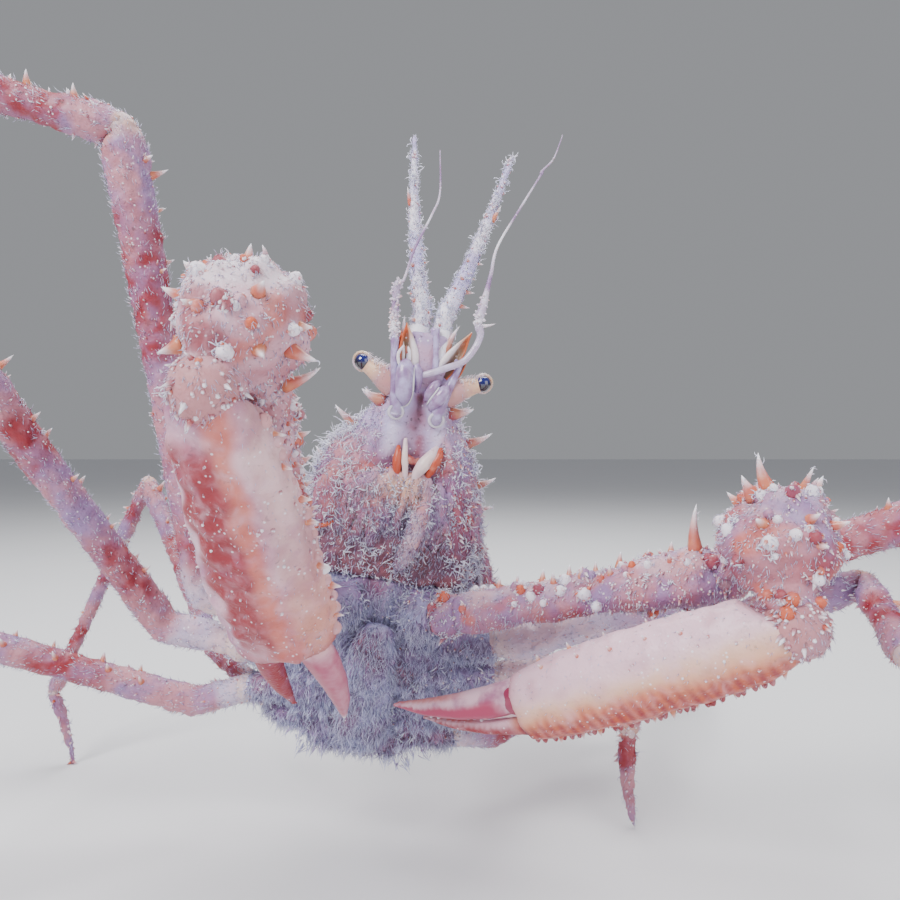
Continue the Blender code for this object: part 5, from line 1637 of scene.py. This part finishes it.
class CRAB_OT_tangles(CrabOperator, bpy.types.Operator):
    """Set tangles of hooked, curled bristles along the shell, horns and limbs"""
    bl_idname = "crab.tangles"
    bl_label = "Tangles"

    def execute(self, context):
        material = bristle_material("tangles", "bristle", "white", "frost")
        for number, (key, skin) in enumerate(SKINS.items()):
            kind = kind_of(key)
            if kind not in TANGLES:
                continue
            count, size = TANGLES[kind]
            heap = Heap()
            rule = keep_clear(key, 7.0)
            self.tangles(heap, skin, count, size, TANGLE_SEED + number, rule)
            if key == "shell":
                self.tangles(heap, skin, *SHOULDER_TANGLES, self.shoulder)
                self.tangles(heap, skin, *FRINGE_TANGLES, self.fringe)
            if key == "shell" or kind == "claw_arm":
                self.on_spines(heap, key, skin)
            dress(heap.piece("tangles_" + key), material, "shell")
        return {"FINISHED"}

    def shoulder(self, middles, ways):
        """The crab's right shoulder, where the longest tangles grow."""
        x, y, back = in_body(middles).T
        return (x < -9.0) & (back > 16.0) & (back < 34.0) & (y < 6.0)

    def fringe(self, middles, ways):
        """The shell's lower front edge, over the breastplate."""
        _, y, back = in_body(middles).T
        return (back > 36.0) & (back < 45.0) & (y < 0.0)

    def on_spines(self, heap, key, skin):
        """A few curls near the end of each longer spine."""
        spines = [item for item in SPINES["carapace" if key == "shell" else key]
                  if np.linalg.norm(item[1] - item[0]) > CURLED_SPINE]
        if not spines:
            return
        roots, tips, _ = (np.repeat(rows, SPINE_CURLS, axis=0) for rows in zip(*spines))
        draw = np.random.RandomState(497)
        count = len(roots)
        share = draw.uniform(0.35, 0.95, (count, 1))
        uv = box_unwrap(skin, roots, unit(tips - roots))
        plant(heap, CURL, roots + (tips - roots) * share, draw.normal(0.0, 1.0, (count, 3)),
              draw.uniform(0.5, 1.3, count), 0.07, draw.normal(0.0, 1.0, (count, 3)),
              draw.uniform(0.8, 3.0, count), uv=uv)

    def tangles(self, heap, skin, count, size, seed, rule):
        """Groups of curls, each group round one root."""
        found = scatter(skin, count, seed, rule)
        roots, ways, corners = (np.repeat(rows, TANGLE_HAIRS, axis=0) for rows in found)
        draw = np.random.RandomState(seed)
        scale = np.repeat(draw.uniform(0.5, 1.3, count), TANGLE_HAIRS)
        many = len(roots)
        places = roots + draw.normal(0.0, size * 0.22, (many, 3))
        outward = ways + draw.normal(0.0, 0.6, (many, 3))
        plant(heap, CURL, places - ways * 0.2, outward,
              scale * size * draw.uniform(0.7, 1.2, many), 0.1 * draw.uniform(0.7, 1.4, many),
              draw.normal(0.0, 1.0, (many, 3)), draw.uniform(0.8, 4.0, many),
              uv=box_unwrap(skin, roots, ways), rose=skin[2]["rose"][corners] * 0.4,
              orange=skin[2]["orange"][corners] * 0.35)


# The stage, in metres: the floor's half width, and each light's place, size and power
FLOOR_REACH = 6.0
FLOOR_TINTS = (0.80, 0.80, 0.82, 1.0), (0.76, 0.76, 0.79, 1.0)
SKY_TINT = (0.86, 0.88, 0.93, 1.0)
SKY_STRENGTH = 0.36
LIGHT_TARGET = Vector((0.0, 0.0, 0.06))
LIGHTS = [("key", (-0.35, -0.45, 0.55), 0.35, 7.5), ("fill", (0.5, -0.4, 0.25), 0.5, 2.0),
          ("top", (0.05, 0.25, 0.6), 0.5, 4.5)]


class CRAB_OT_stage(CrabOperator, bpy.types.Operator):
    """Lay the plain floor and set the lights and the camera"""
    bl_idname = "crab.stage"
    bl_label = "Stage"

    def execute(self, context):
        mesh = bmesh.new()
        bmesh.ops.create_grid(mesh, x_segments=1, y_segments=1, size=FLOOR_REACH)
        data = bpy.data.meshes.new("floor")
        mesh.to_mesh(data)
        mesh.free()
        floor = bpy.data.objects.new("floor", data)
        bpy.context.scene.collection.objects.link(floor)
        web = Web("floor", 0.8)
        web.feed(web.shader.inputs["Base Color"], web.mix(*FLOOR_TINTS, web.noise(60.0, 3.0)))
        data.materials.append(web.material)
        sky = bpy.data.worlds.new("studio")
        sky.use_nodes = True
        backdrop = sky.node_tree.nodes["Background"]
        backdrop.inputs["Color"].default_value = SKY_TINT
        backdrop.inputs["Strength"].default_value = SKY_STRENGTH
        bpy.context.scene.world = sky
        for name, place, size, power in LIGHTS:
            lamp = bpy.data.lights.new(name, "AREA")
            lamp.size = size
            lamp.energy = power
            item = bpy.data.objects.new(name, lamp)
            item.location = place
            aim = LIGHT_TARGET - Vector(place)
            item.rotation_euler = aim.to_track_quat("-Z", "Y").to_euler()
            bpy.context.scene.collection.objects.link(item)
        lens = bpy.data.cameras.new("camera")
        lens.lens = CAMERA_LENS
        lens.sensor_width = CAMERA_SENSOR
        lens.clip_start = 0.005
        camera = bpy.data.objects.new("camera", lens)
        camera.location = (CAMERA_PLACE - ORIGIN) * MM
        camera.rotation_euler = (math.radians(90.0), 0.0, 0.0)
        bpy.context.scene.collection.objects.link(camera)
        bpy.context.scene.camera = camera
        return {"FINISHED"}


class CRAB_PT_panel(bpy.types.Panel):
    """Lists the steps in the sidebar"""
    bl_label = "Spiny spider crab"
    bl_space_type = "VIEW_3D"
    bl_region_type = "UI"
    bl_category = "Crab"

    def draw(self, context):
        for group in (context.scene.crab_sizes, context.scene.crab_colours):
            for key in group.__annotations__:
                self.layout.prop(group, key)
        for operator in STEPS:
            self.layout.operator(operator.bl_idname)


STEPS = (CRAB_OT_shell, CRAB_OT_belly, CRAB_OT_legs, CRAB_OT_claws, CRAB_OT_horns, CRAB_OT_eyes,
         CRAB_OT_feelers, CRAB_OT_mouth, CRAB_OT_spines, CRAB_OT_grains, CRAB_OT_bristles,
         CRAB_OT_tangles, CRAB_OT_stage)
CLASSES = (CrabSizes, CrabColours, *STEPS, CRAB_PT_panel)


def register():
    for item in CLASSES:
        bpy.utils.register_class(item)
    bpy.types.Scene.crab_sizes = bpy.props.PointerProperty(type=CrabSizes)
    bpy.types.Scene.crab_colours = bpy.props.PointerProperty(type=CrabColours)


def unregister():
    del bpy.types.Scene.crab_colours
    del bpy.types.Scene.crab_sizes
    for item in reversed(CLASSES):
        bpy.utils.unregister_class(item)


def main():
    register()
    for operator in STEPS:
        group, name = operator.bl_idname.split(".")
        getattr(getattr(bpy.ops, group), name)()


if __name__ == "__main__":
    main()
